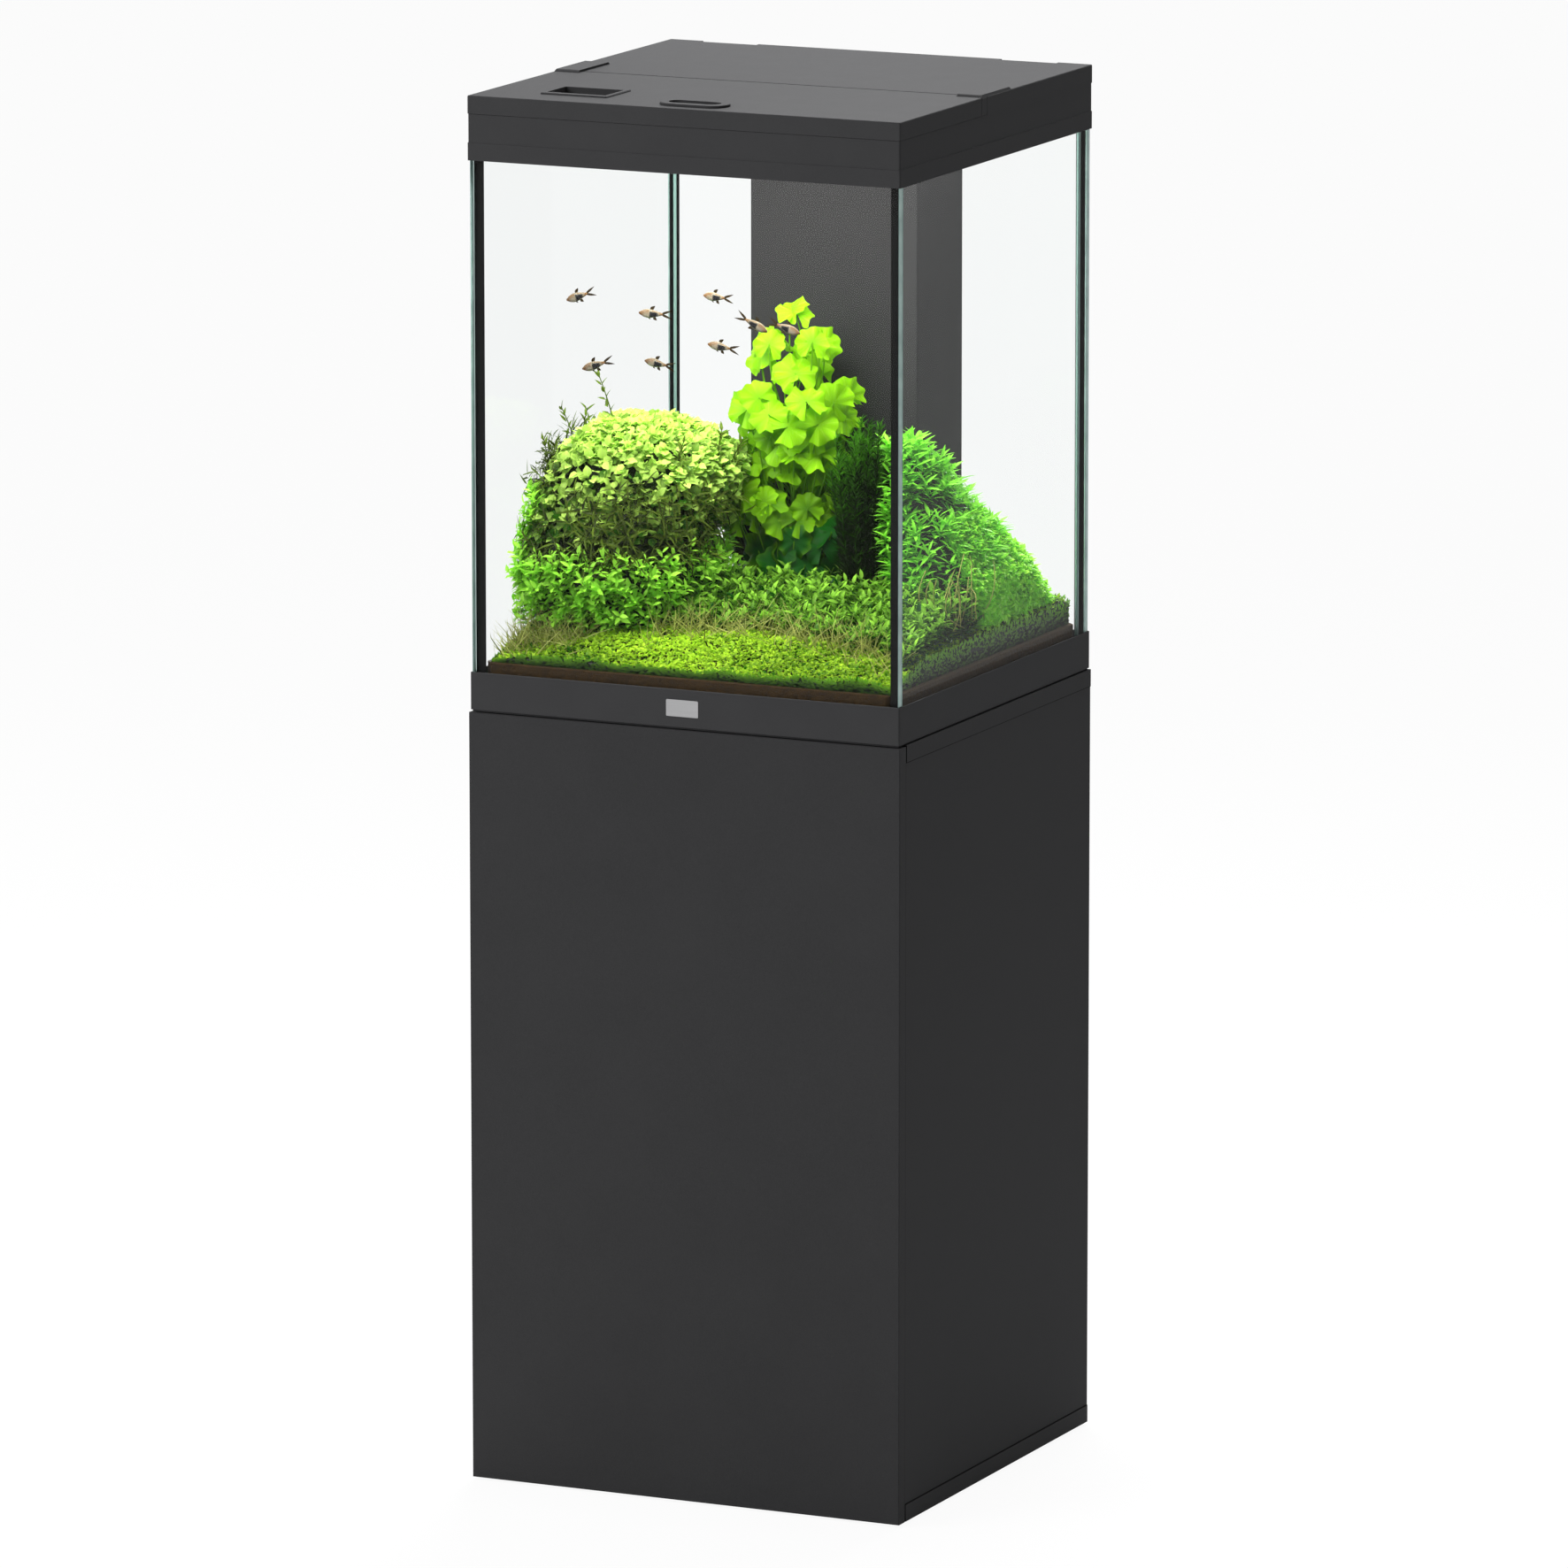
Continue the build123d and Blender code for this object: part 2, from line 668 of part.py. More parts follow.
# Black silicone: a strip in each upright joint with a hollow fillet inside, and a bottom ring
strip_outer = glass_half - 1.2
strip_back = glass_inner - joint
bead_inner = glass_inner - bead
with BuildPart() as silicone_seams:
    with BuildSketch(Plane.XY.offset(tank_floor)):
        with BuildLine():
            Polyline(
                (glass_inner, bead_inner),
                (glass_inner, strip_back),
                (strip_outer, strip_back),
                (strip_outer, glass_inner),
                (bead_inner, glass_inner),
            )
            RadiusArc((bead_inner, glass_inner), (glass_inner, bead_inner), -2 * bead)
        make_face()
    extrude(amount=bead_top - tank_floor)
    mirror(about=Plane.XZ)
    mirror(about=Plane.YZ)
    with BuildSketch(Plane.XY.offset(base_shelf_top)):
        Rectangle(2 * glass_inner, 2 * glass_inner)
        Rectangle(2 * (glass_inner - joint), 2 * (glass_inner - joint), mode=Mode.SUBTRACT)
    extrude(amount=bottom_glass)
silicone_seams.part.label = "silicone_seams"
export_step(silicone_seams.part, "parts/silicone_seams.step")

# Rim: a channel that grips the top edge of the glass, with a flange the hood rests on
rim_lip_outer = glass_inner - 0.5
rim_lip_inner = rim_lip_outer - 2.0
rim_mouth = 236.0
channel_top = glass_top + 0.3
with BuildPart() as tank_top_rim:
    with BuildSketch(Plane.XY.offset(rim_bottom)):
        RectangleRounded(2 * rim_half, 2 * rim_half, 2)
        Rectangle(2 * (glass_half + frame_fit), 2 * (glass_half + frame_fit), mode=Mode.SUBTRACT)
    extrude(amount=channel_top - rim_bottom)
    with BuildSketch(Plane.XY.offset(bead_top + 1)):
        Rectangle(2 * rim_lip_outer, 2 * rim_lip_outer)
        Rectangle(2 * rim_lip_inner, 2 * rim_lip_inner, mode=Mode.SUBTRACT)
    extrude(amount=channel_top - bead_top - 1)
    with BuildSketch(Plane.XY.offset(channel_top)):
        RectangleRounded(2 * rim_half, 2 * rim_half, 2)
        Rectangle(2 * rim_mouth, 2 * rim_mouth, mode=Mode.SUBTRACT)
    extrude(amount=rim_top - channel_top)
    chamfer(faces().sort_by(Axis.Z)[-1].outer_wire().edges(), 0.5)
tank_top_rim.part.label = "tank_top_rim"
export_step(tank_top_rim.part, "parts/tank_top_rim.step")


# Planting: soil, carpet and the plants as closed bodies

bed_half = glass_inner - plant_clear
column_box = (filter_right - filter_left + 2 * plant_clear, filter_back - filter_front + 8)
column_spot = ((filter_left + filter_right) / 2, filter_front - plant_clear + column_box[1] / 2)
with BuildPart() as soil_bed:
    with BuildSketch(Plane.XY.offset(tank_floor)):
        Rectangle(2 * bed_half, 2 * bed_half)
        for sx in (-1, 1):
            for sy in (-1, 1):
                with Locations((sx * bed_half, sy * bed_half)):
                    Rectangle(2 * bead, 2 * bead, mode=Mode.SUBTRACT)
        with Locations(column_spot):
            Rectangle(*column_box, mode=Mode.SUBTRACT)
    extrude(amount=soil_top - tank_floor)
soil_bed.part.label = "soil_bed"
export_step(soil_bed.part, "parts/soil_bed.step")

# The carpet starts low at the front glass and climbs to a level terrace
carpet_half = bed_half - 5.5
with BuildPart() as plant_carpet:
    with BuildSketch(Plane.YZ.offset(-carpet_half)):
        with BuildLine():
            Polyline(
                (-carpet_half, soil_top),
                (carpet_half, soil_top),
                (carpet_half, carpet_top),
                (carpet_brow, carpet_top),
                (-carpet_half, carpet_front),
                close=True,
            )
        make_face()
    extrude(amount=2 * carpet_half)
    with BuildSketch(Plane.XY.offset(soil_top)):
        with Locations(column_spot):
            Rectangle(*column_box)
    extrude(amount=carpet_top - soil_top, mode=Mode.SUBTRACT)
    chamfer(edges().filter_by(Axis.Y).group_by(Axis.Z)[-1].sort_by(Axis.X)[-1], 10)
plant_carpet.part.label = "plant_carpet"
export_step(plant_carpet.part, "parts/plant_carpet.step")

# Bushes grown into the corners: level, centre and half-widths of the rounded rings each is lofted through
bush_corner = 0.75
bush_left_rings = (
    (carpet_top, -150, -90, 90, 108),
    (985, -151, -94, 90, 112),
    (1030, -150, -84, 90, 108),
    (1070, -148, -62, 87, 96),
    (1105, -146, -48, 77, 80),
    (1132, -144, -40, 57, 60),
    (1148, -142, -36, 28, 30),
)
with BuildPart() as bush_left:
    for level, x, y, half_x, half_y in bush_left_rings:
        with BuildSketch(Plane.XY.offset(level)):
            with Locations((x, y)):
                RectangleRounded(2 * half_x, 2 * half_y, bush_corner * min(half_x, half_y))
    loft()
bush_left.part.label = "bush_left"
export_step(bush_left.part, "parts/bush_left.step")

# The right bush falls off towards the back corner
bush_right_rings = (
    (carpet_top, 174, 108, 62, 129),
    (985, 170, 96, 58, 114),
    (1030, 160, 74, 48, 84),
    (1070, 150, 54, 32, 52),
    (1105, 140, 36, 24, 36),
    (1130, 130, 22, 10, 14),
)
with BuildPart() as bush_right:
    for level, x, y, half_x, half_y in bush_right_rings:
        with BuildSketch(Plane.XY.offset(level)):
            with Locations((x, y)):
                RectangleRounded(2 * half_x, 2 * half_y, bush_corner * min(half_x, half_y))
    loft()
bush_right.part.label = "bush_right"
export_step(bush_right.part, "parts/bush_right.step")

# Broad-leaved plant: round leaves set round an upright stem, smaller towards the top
stem_x = -8.0
stem_y = 48.0
stem_top = 1262.0
leaf_count = 16
leaf_thickness = 3.0
golden_turn = 137.5
with BuildPart() as broadleaf_plant:
    with BuildSketch(Plane.XY.offset(carpet_top)):
        with Locations((stem_x, stem_y)):
            Circle(7)
    extrude(amount=stem_top - carpet_top, taper=0.6)
    for number in range(leaf_count):
        rise = number / (leaf_count - 1)
        radius = 34 - 12 * rise
        reach = radius * (0.95 - 0.45 * rise)
        level = carpet_top + 46 + (stem_top - carpet_top - 58) * rise
        turn = math.radians(golden_turn * number)
        spot = (stem_x + reach * math.cos(turn), stem_y + reach * math.sin(turn), level)
        tilt = Plane(spot, z_dir=(0.45 * math.cos(turn), 0.45 * math.sin(turn), 1))
        with BuildSketch(tilt):
            Circle(radius)
        extrude(amount=leaf_thickness)
broadleaf_plant.part.label = "broadleaf_plant"
export_step(broadleaf_plant.part, "parts/broadleaf_plant.step")

# Fern clumps: narrow at the root, full in the middle, pointed on top
fern_spots = ((92, 0, 222, 28), (-88, 90, 168, 20))
with BuildPart() as fern_clumps:
    for x, y, height, radius in fern_spots:
        with BuildSketch(Plane(origin=(x, y, carpet_top), x_dir=(1, 0, 0), z_dir=(0, -1, 0))):
            with BuildLine():
                Line((0, 0), (radius * 0.35, 0))
                Spline((radius * 0.35, 0), (radius, height * 0.6), (radius * 0.6, height * 0.88), (0, height))
                Line((0, height), (0, 0))
            make_face()
        revolve(axis=Axis((x, y, carpet_top), (0, 0, 1)))
fern_clumps.part.label = "fern_clumps"
export_step(fern_clumps.part, "parts/fern_clumps.step")


# Filter column: open-topped box with a partition, an intake grille and an outlet bore

outlet_radius = 9.0
intake_rows = 9
intake_pitch = 9.0
intake_z = 1000.0
filter_mid = ((filter_left + filter_right) / 2, (filter_front + filter_back) / 2)
filter_size = (filter_right - filter_left, filter_back - filter_front)
with BuildPart() as filter_housing:
    with BuildSketch(Plane.XY.offset(tank_floor)):
        with Locations(filter_mid):
            RectangleRounded(*filter_size, 2)
    extrude(amount=filter_top - tank_floor)
    with BuildSketch(Plane.XY.offset(tank_floor + filter_wall)):
        with Locations(filter_mid):
            Rectangle(filter_size[0] - 2 * filter_wall, filter_size[1] - 2 * filter_wall)
        with Locations((partition_x, filter_mid[1])):
            Rectangle(filter_wall, filter_size[1], mode=Mode.SUBTRACT)
    extrude(amount=filter_top - tank_floor, mode=Mode.SUBTRACT)
    with BuildSketch(Plane.YZ.offset(filter_left)):
        with Locations((filter_mid[1], intake_z)):
            with GridLocations(1, intake_pitch, 1, intake_rows):
                SlotOverall(70, 4)
        with Locations((pump_y, pump_z)):
            Circle(outlet_radius + 0.3)
    extrude(amount=filter_wall, mode=Mode.SUBTRACT)
    with BuildSketch(Plane.YZ.offset(partition_x - filter_wall / 2)):
        with Locations((filter_mid[1], tank_floor + 60)):
            SlotOverall(70, 14)
        with Locations((filter_mid[1], filter_top - 30)):
            SlotOverall(70, 14)
    extrude(amount=filter_wall, mode=Mode.SUBTRACT)
filter_housing.part.label = "filter_housing"
export_step(filter_housing.part, "parts/filter_housing.step")

foam_size = (partition_x - filter_left - 2 * filter_wall - 4, filter_size[1] - 2 * filter_wall - 2)
foam_heights = (110.0, 90.0)
foam_spot = ((filter_left + partition_x + filter_wall / 2) / 2, filter_mid[1])
with BuildPart() as filter_foams:
    with BuildSketch(Plane.XY.offset(tank_floor + filter_wall)):
        with Locations(foam_spot):
            RectangleRounded(*foam_size, 4)
    extrude(amount=foam_heights[0])
    with BuildSketch(Plane.XY.offset(tank_floor + filter_wall + foam_heights[0] + 1)):
        with Locations(foam_spot):
            RectangleRounded(*foam_size, 4)
    extrude(amount=foam_heights[1])
filter_foams.part.label = "filter_foams"
export_step(filter_foams.part, "parts/filter_foams.step")

# Circulation pump: housing with a rotor well and a volute, cover, rotor and outlet nozzle
pump_size = (62.0, 58.0, 62.0)
volute_depth = 11.0
volute_radius = impeller_radius + 3
well_depth = 34.0
well_radius = magnet_radius + 0.8
pump_front = pump_y - pump_size[1] / 2
pipe_bore = 6.0
with BuildPart() as pump_body:
    with BuildSketch(Plane.XZ.offset(-pump_front)):
        with Locations((pump_x, pump_z)):
            RectangleRounded(pump_size[0], pump_size[2], 8)
    extrude(amount=-pump_size[1])
    with BuildSketch(Plane.YZ.offset(pump_x - pump_size[0] / 2 + 4)):
        with Locations((pump_y, pump_z)):
            Circle(outlet_radius)
    extrude(amount=-(pump_x - pump_size[0] / 2 + 4 - filter_left))
    with BuildSketch(Plane.XZ.offset(-pump_front)):
        with Locations((pump_x, pump_z)):
            Circle(volute_radius)
    extrude(amount=-volute_depth, mode=Mode.SUBTRACT)
    with BuildSketch(Plane.XZ.offset(-pump_front - volute_depth)):
        with Locations((pump_x, pump_z)):
            Circle(well_radius)
    extrude(amount=-well_depth, mode=Mode.SUBTRACT)
    with BuildSketch(Plane.YZ.offset(filter_left)):
        with Locations((pump_y, pump_z)):
            Circle(pipe_bore)
    extrude(amount=pump_x - well_radius - 4 - filter_left, mode=Mode.SUBTRACT)
pump_body.part.label = "pump_body"
export_step(pump_body.part, "parts/pump_body.step")

cover_thickness = 4.0
with BuildPart() as pump_cover:
    with BuildSketch(Plane.XZ.offset(-pump_front)):
        with Locations((pump_x, pump_z)):
            RectangleRounded(pump_size[0] - 6, pump_size[2] - 6, 6)
            with PolarLocations(9, 6):
                Circle(3, mode=Mode.SUBTRACT)
    extrude(amount=cover_thickness)
pump_cover.part.label = "pump_cover"
export_step(pump_cover.part, "parts/pump_cover.step")

# Rotor: magnet drum in the well and six blades in the volute
rotor_play = 1.0
blade_count = 6
blade_thickness = 1.6
hub_radius = 4.0
with BuildPart() as pump_rotor:
    with BuildSketch(Plane.XZ.offset(-pump_front - volute_depth + rotor_play)):
        with Locations((pump_x, pump_z)):
            Circle(magnet_radius)
    extrude(amount=-well_depth)
    with BuildSketch(Plane.XZ.offset(-pump_front - rotor_play)):
        with Locations((pump_x, pump_z)):
            Circle(hub_radius)
            with PolarLocations(impeller_radius / 2, blade_count):
                Rectangle(impeller_radius, blade_thickness)
    extrude(amount=-(volute_depth - 2 * rotor_play))
pump_rotor.part.label = "pump_rotor"
export_step(pump_rotor.part, "parts/pump_rotor.step")

nozzle_length = 34.0
with BuildPart() as outlet_nozzle:
    with BuildSketch(Plane(origin=(filter_left, pump_y, pump_z), x_dir=(-1, 0, 0), z_dir=(0, -1, 0))):
        with BuildLine():
            Polyline(
                (0, pipe_bore),
                (nozzle_length, pipe_bore - 1),
                (nozzle_length, pipe_bore + 0.8),
                (6, outlet_radius),
                (6, outlet_radius + 4),
                (0.3, outlet_radius + 4),
                (0.3, outlet_radius - 1),
                (0, outlet_radius - 1),
                close=True,
            )
        make_face()
    revolve(axis=Axis((filter_left, pump_y, pump_z), (1, 0, 0)))
outlet_nozzle.part.label = "outlet_nozzle"
export_step(outlet_nozzle.part, "parts/outlet_nozzle.step")

# Rod heater in the narrow chamber: sealed tube with a thicker cap
heater_x = (partition_x + filter_right) / 2
heater_bottom = 1120.0
heater_length = 230.0
heater_radius = 11.0
heater_cap = 34.0
with BuildPart() as heater:
    with BuildSketch(Plane.XY.offset(heater_bottom)):
        with Locations((heater_x, filter_mid[1])):
            Circle(heater_radius)
    extrude(amount=heater_length)
    fillet(edges().group_by(Axis.Z)[0], heater_radius - 1)
    with BuildSketch(Plane.XY.offset(heater_bottom + heater_length)):
        with Locations((heater_x, filter_mid[1])):
            Circle(heater_radius + 3)
    extrude(amount=heater_cap)
    fillet(edges().group_by(Axis.Z)[-1], 4)
heater.part.label = "heater"
export_step(heater.part, "parts/heater.step")

# Suction-cup clip that holds the heater on the partition
clip_z = heater_bottom + 150
with BuildPart() as heater_clip:
    with BuildSketch(Plane.XY.offset(clip_z)):
        with Locations((heater_x, filter_mid[1])):
            Circle(heater_radius + 2.6)
            Circle(heater_radius + 0.1, mode=Mode.SUBTRACT)
        with Locations(((partition_x + filter_wall / 2 + heater_x - heater_radius - 1) / 2, filter_mid[1])):
            Rectangle(heater_x - heater_radius - 1 - partition_x - filter_wall / 2, 10)
    extrude(amount=12)
heater_clip.part.label = "heater_clip"
export_step(heater_clip.part, "parts/heater_clip.step")


# Hood: band, rear cover, front flap with its feeder and grip, hinge covers and lamp

band_wall = 3.0
band_floor = 3.0
locator_outer = rim_mouth - 0.3
locator_wall = 2.0
beam_front = cover_front + 4
beam_width = 10.0
beam_bottom = 1482.0
with BuildPart() as hood_frame:
    with BuildSketch(Plane.XY.offset(rim_top)):
        RectangleRounded(2 * band_half, 2 * band_half, 2)
        Rectangle(2 * (band_half - band_wall), 2 * (band_half - band_wall), mode=Mode.SUBTRACT)
    extrude(amount=band_top - rim_top)
    with BuildSketch(Plane.XY.offset(rim_top)):
        Rectangle(2 * (band_half - 1), 2 * (band_half - 1))
        Rectangle(2 * (locator_outer - locator_wall), 2 * (locator_outer - locator_wall), mode=Mode.SUBTRACT)
    extrude(amount=band_floor)
    with BuildSketch(Plane.XY.offset(rim_top)):
        Rectangle(2 * locator_outer, 2 * locator_outer)
        Rectangle(2 * (locator_outer - locator_wall), 2 * (locator_outer - locator_wall), mode=Mode.SUBTRACT)
    extrude(amount=-6)
    with BuildSketch(Plane.XY.offset(beam_bottom)):
        with Locations((0, beam_front + beam_width / 2)):
            Rectangle(2 * (band_half - 1), beam_width)
    extrude(amount=band_top - beam_bottom)
hood_frame.part.label = "hood_frame"
export_step(hood_frame.part, "parts/hood_frame.step")

# Rear cover: shallow tray with two cut-outs for cables and hoses in its back edge
cover_depth = lid_half - cover_front
cover_mid = (lid_half + cover_front) / 2
rib_drop = 8.0
rib = 2.0
with BuildPart() as rear_cover:
    with BuildSketch(Plane.XY.offset(band_top)) as cover_outline:
        with Locations((0, cover_mid)):
            Rectangle(2 * lid_half, cover_depth)
        fillet(cover_outline.vertices().group_by(Axis.Y)[-1], 2)
    extrude(amount=lid_top - band_top)
    top_edges = edges().group_by(Axis.Z)[-1]
    fillet(top_edges.filter_by(Axis.Y), lid_edge)
    with BuildSketch(Plane.XY.offset(band_top)):
        with Locations((0, cover_mid - lid_wall / 2)):
            Rectangle(2 * (lid_half - lid_wall), cover_depth - lid_wall)
        with Locations((0, cover_front + beam_width / 2 + 5)):
            Rectangle(2 * (lid_half - lid_wall), rib, mode=Mode.SUBTRACT)
    extrude(amount=lid_top - lid_plate - band_top, mode=Mode.SUBTRACT)
    with BuildSketch(Plane.XY.offset(band_top)):
        with Locations((-cable_notch_x, lid_half), (cable_notch_x, lid_half)):
            Rectangle(cable_notch_width, 2 * cable_notch_depth)
    extrude(amount=lid_top - band_top, mode=Mode.SUBTRACT)
    with BuildSketch(Plane.XY.offset(lid_top - lid_plate)):
        with Locations((0, cover_mid - 25), (0, cover_mid + 55)):
            Rectangle(2 * (lid_half - lid_wall), rib)
    extrude(amount=-rib_drop)
rear_cover.part.label = "rear_cover"
export_step(rear_cover.part, "parts/rear_cover.step")

# Front flap: tray open at the back, notched round the hinge covers, with pin bosses and ribs
flap_bottom = band_top + flap_lift
notch_inner = pad_inner - notch_play
boss_length = 17.0
with BuildPart() as front_flap:
    with BuildSketch(Plane.XY.offset(flap_bottom)) as flap_outline:
        with BuildLine():
            Polyline(
                (-lid_half, -lid_half),
                (lid_half, -lid_half),
                (lid_half, notch_front),
                (notch_inner, notch_front),
                (notch_inner, flap_back),
                (-notch_inner, flap_back),
                (-notch_inner, notch_front),
                (-lid_half, notch_front),
                close=True,
            )
        make_face()
        fillet(flap_outline.vertices().group_by(Axis.Y)[0], 2)
    extrude(amount=lid_top - flap_bottom)
    flap_edges = edges().group_by(Axis.Z)[-1]
    outer_edges = flap_edges.filter_by(Axis.Y).sort_by(Axis.X)
    fillet([outer_edges[0], outer_edges[-1]] + flap_edges.group_by(Axis.Y)[0], lid_edge)
    with BuildSketch(Plane.XY.offset(flap_bottom)):
        with Locations((0, lid_wall)):
            Rectangle(2 * (lid_half - lid_wall), 2 * lid_half)
    extrude(amount=lid_top - lid_plate - flap_bottom, mode=Mode.SUBTRACT)
    with BuildSketch(Plane.XY.offset(lid_top - lid_plate)):
        with Locations((0, -80), (0, -125)):
            Rectangle(2 * (lid_half - lid_wall), rib)
    extrude(amount=-rib_drop)
    for side in (-1, 1):
        with BuildSketch(Plane.YZ.offset(side * notch_inner)):
            with Locations((flap_axis_y, flap_axis_z)):
                Circle(boss_radius)
        extrude(amount=-side * boss_length)
        with BuildSketch(Plane.YZ.offset(side * notch_inner)):
            with Locations((flap_axis_y, flap_axis_z)):
                Circle(flap_pin / 2 + 0.2)
        extrude(amount=-side * boss_length, mode=Mode.SUBTRACT)
    with BuildSketch(Plane.XY.offset(lid_top)):
        with Locations((feeder_x, feeder_y)):
            Rectangle(feeder_inner[0] + 2 * feeder_wall + 2 * fit, feeder_inner[1] + 2 * feeder_wall + 2 * fit)
        with Locations((0, grip_y)):
            SlotOverall(grip_slot[0] + 4 + 2 * fit, grip_slot[1] + 4 + 2 * fit)
    extrude(amount=-lid_plate, mode=Mode.SUBTRACT)
front_flap.part.label = "front_flap"
export_step(front_flap.part, "parts/front_flap.step")

# Hinge covers: a low pad on the rear cover whose round nose carries the flap's pin
nose_top = math.sqrt(nose_radius**2 - (lid_top + pad_rise - flap_axis_z) ** 2)
nose_back = cover_front - 0.6
nose_drop = flap_axis_z - nose_radius
pad_slope = 3.0
cheek = 2.5
with BuildPart() as hinge_cover_right:
    with BuildSketch(Plane.YZ.offset(pad_inner)):
        with BuildLine():
            ThreePointArc(
                (flap_axis_y, nose_drop),
                (flap_axis_y - nose_radius, flap_axis_z),
                (flap_axis_y - nose_top, lid_top + pad_rise),
            )
            Polyline(
                (flap_axis_y - nose_top, lid_top + pad_rise),
                (pad_back - pad_slope, lid_top + pad_rise),
                (pad_back, lid_top),
                (nose_back, lid_top),
                (nose_back, nose_drop),
                (flap_axis_y, nose_drop),
            )
        make_face()
    extrude(amount=lid_half - pad_inner)
    chamfer(edges().filter_by(Axis.Y).group_by(Axis.Z)[-1].sort_by(Axis.X)[-1], 2, 4)
    with BuildSketch(Plane.XY.offset(band_top + flap_lift)):
        with Locations((lid_half - cheek / 2, (notch_front + 0.6 + nose_back) / 2)):
            Rectangle(cheek, nose_back - notch_front - 0.6)
    extrude(amount=flap_axis_z - band_top - flap_lift)
    with BuildSketch(Plane.YZ.offset(pad_inner)):
        with Locations((flap_axis_y, flap_axis_z)):
            Circle(flap_pin / 2 + 0.02)
    extrude(amount=24, mode=Mode.SUBTRACT)
hinge_cover_right.part.label = "hinge_cover_right"
export_step(hinge_cover_right.part, "parts/hinge_cover_right.step")

with BuildPart() as hinge_cover_left:
    mirror(hinge_cover_right.part, about=Plane.YZ)
hinge_cover_left.part.label = "hinge_cover_left"
export_step(hinge_cover_left.part, "parts/hinge_cover_left.step")

with BuildPart() as flap_hinge_pins:
    for side in (-1, 1):
        with BuildSketch(Plane.YZ.offset(side * (notch_inner - boss_length + 1))):
            with Locations((flap_axis_y, flap_axis_z)):
                Circle(flap_pin / 2)
        extrude(amount=side * (boss_length - 1 + notch_play + 23))
flap_hinge_pins.part.label = "flap_hinge_pins"
export_step(flap_hinge_pins.part, "parts/flap_hinge_pins.step")

# Feeder frame: raised rim on the flap with a deep collar, a front ledge and pin holes
with BuildPart() as feeder_frame:
    with BuildSketch(Plane.XY.offset(lid_top)):
        with Locations((feeder_x, feeder_y)):
            RectangleRounded(*feeder_outer, 2)
    extrude(amount=feeder_rise)
    chamfer(faces().sort_by(Axis.Z)[-1].edges(), 1.0)
    with BuildSketch(Plane.XY.offset(lid_top)):
        with Locations((feeder_x, feeder_y)):
            Rectangle(feeder_inner[0] + 2 * feeder_wall, feeder_inner[1] + 2 * feeder_wall)
    extrude(amount=-feeder_drop)
    with BuildSketch(Plane.XY.offset(lid_top + feeder_rise)):
        with Locations((feeder_x, feeder_y)):
            Rectangle(*feeder_inner)
    extrude(amount=-feeder_rise - feeder_drop, mode=Mode.SUBTRACT)
    ledge_top = hatch_axis_z - hatch_thickness / 2 - 0.3
    with BuildSketch(Plane.XY.offset(ledge_top)):
        with Locations((feeder_x, feeder_y - feeder_inner[1] / 2 + 1)):
            Rectangle(feeder_inner[0], 2)
    extrude(amount=-2)
    with BuildSketch(Plane.YZ.offset(feeder_x - feeder_outer[0] / 2)):
        with Locations((hatch_axis_y, hatch_axis_z)):
            Circle(hatch_pin / 2 + 0.02)
    extrude(amount=feeder_outer[0], mode=Mode.SUBTRACT)
feeder_frame.part.label = "feeder_frame"
export_step(feeder_frame.part, "parts/feeder_frame.step")

hatch_back = hatch_axis_y + 1.2
hatch_front = feeder_y - feeder_inner[1] / 2 + 0.4
with BuildPart() as feeder_hatch:
    with BuildSketch(Plane.XY.offset(hatch_axis_z - hatch_thickness / 2)):
        with Locations((feeder_x, (hatch_front + hatch_back) / 2)):
            Rectangle(feeder_inner[0] - 0.8, hatch_back - hatch_front)
        with Locations((feeder_x - 22, feeder_y - 6)):
            Circle(8, mode=Mode.SUBTRACT)
    extrude(amount=hatch_thickness)
    with BuildSketch(Plane.YZ.offset(feeder_x - feeder_inner[0] / 2)):
        with Locations((hatch_axis_y, hatch_axis_z)):
            Circle(hatch_pin / 2 + 0.15)
    extrude(amount=feeder_inner[0], mode=Mode.SUBTRACT)
feeder_hatch.part.label = "feeder_hatch"
export_step(feeder_hatch.part, "parts/feeder_hatch.step")

with BuildPart() as feeder_hatch_pin:
    with BuildSketch(Plane.YZ.offset(feeder_x - feeder_inner[0] / 2 - feeder_wall)):
        with Locations((hatch_axis_y, hatch_axis_z)):
            Circle(hatch_pin / 2)
    extrude(amount=feeder_inner[0] + 2 * feeder_wall)
feeder_hatch_pin.part.label = "feeder_hatch_pin"
export_step(feeder_hatch_pin.part, "parts/feeder_hatch_pin.step")

# Grip: a raised oval ring with a finger recess under it
with BuildPart() as grip_ring:
    with BuildSketch(Plane.XY.offset(lid_top)):
        with Locations((0, grip_y)):
            SlotOverall(*grip_outer)
    extrude(amount=grip_rise)
    fillet(faces().sort_by(Axis.Z)[-1].edges(), 1.5)
    with BuildSketch(Plane.XY.offset(lid_top)):
        with Locations((0, grip_y)):
            SlotOverall(grip_slot[0] + 4, grip_slot[1] + 4)
    extrude(amount=-grip_depth)
    with BuildSketch(Plane.XY.offset(lid_top + grip_rise)):
        with Locations((0, grip_y)):
            SlotOverall(*grip_slot)
    extrude(amount=-grip_rise - grip_depth + 2, mode=Mode.SUBTRACT)
grip_ring.part.label = "grip_ring"
export_step(grip_ring.part, "parts/grip_ring.step")

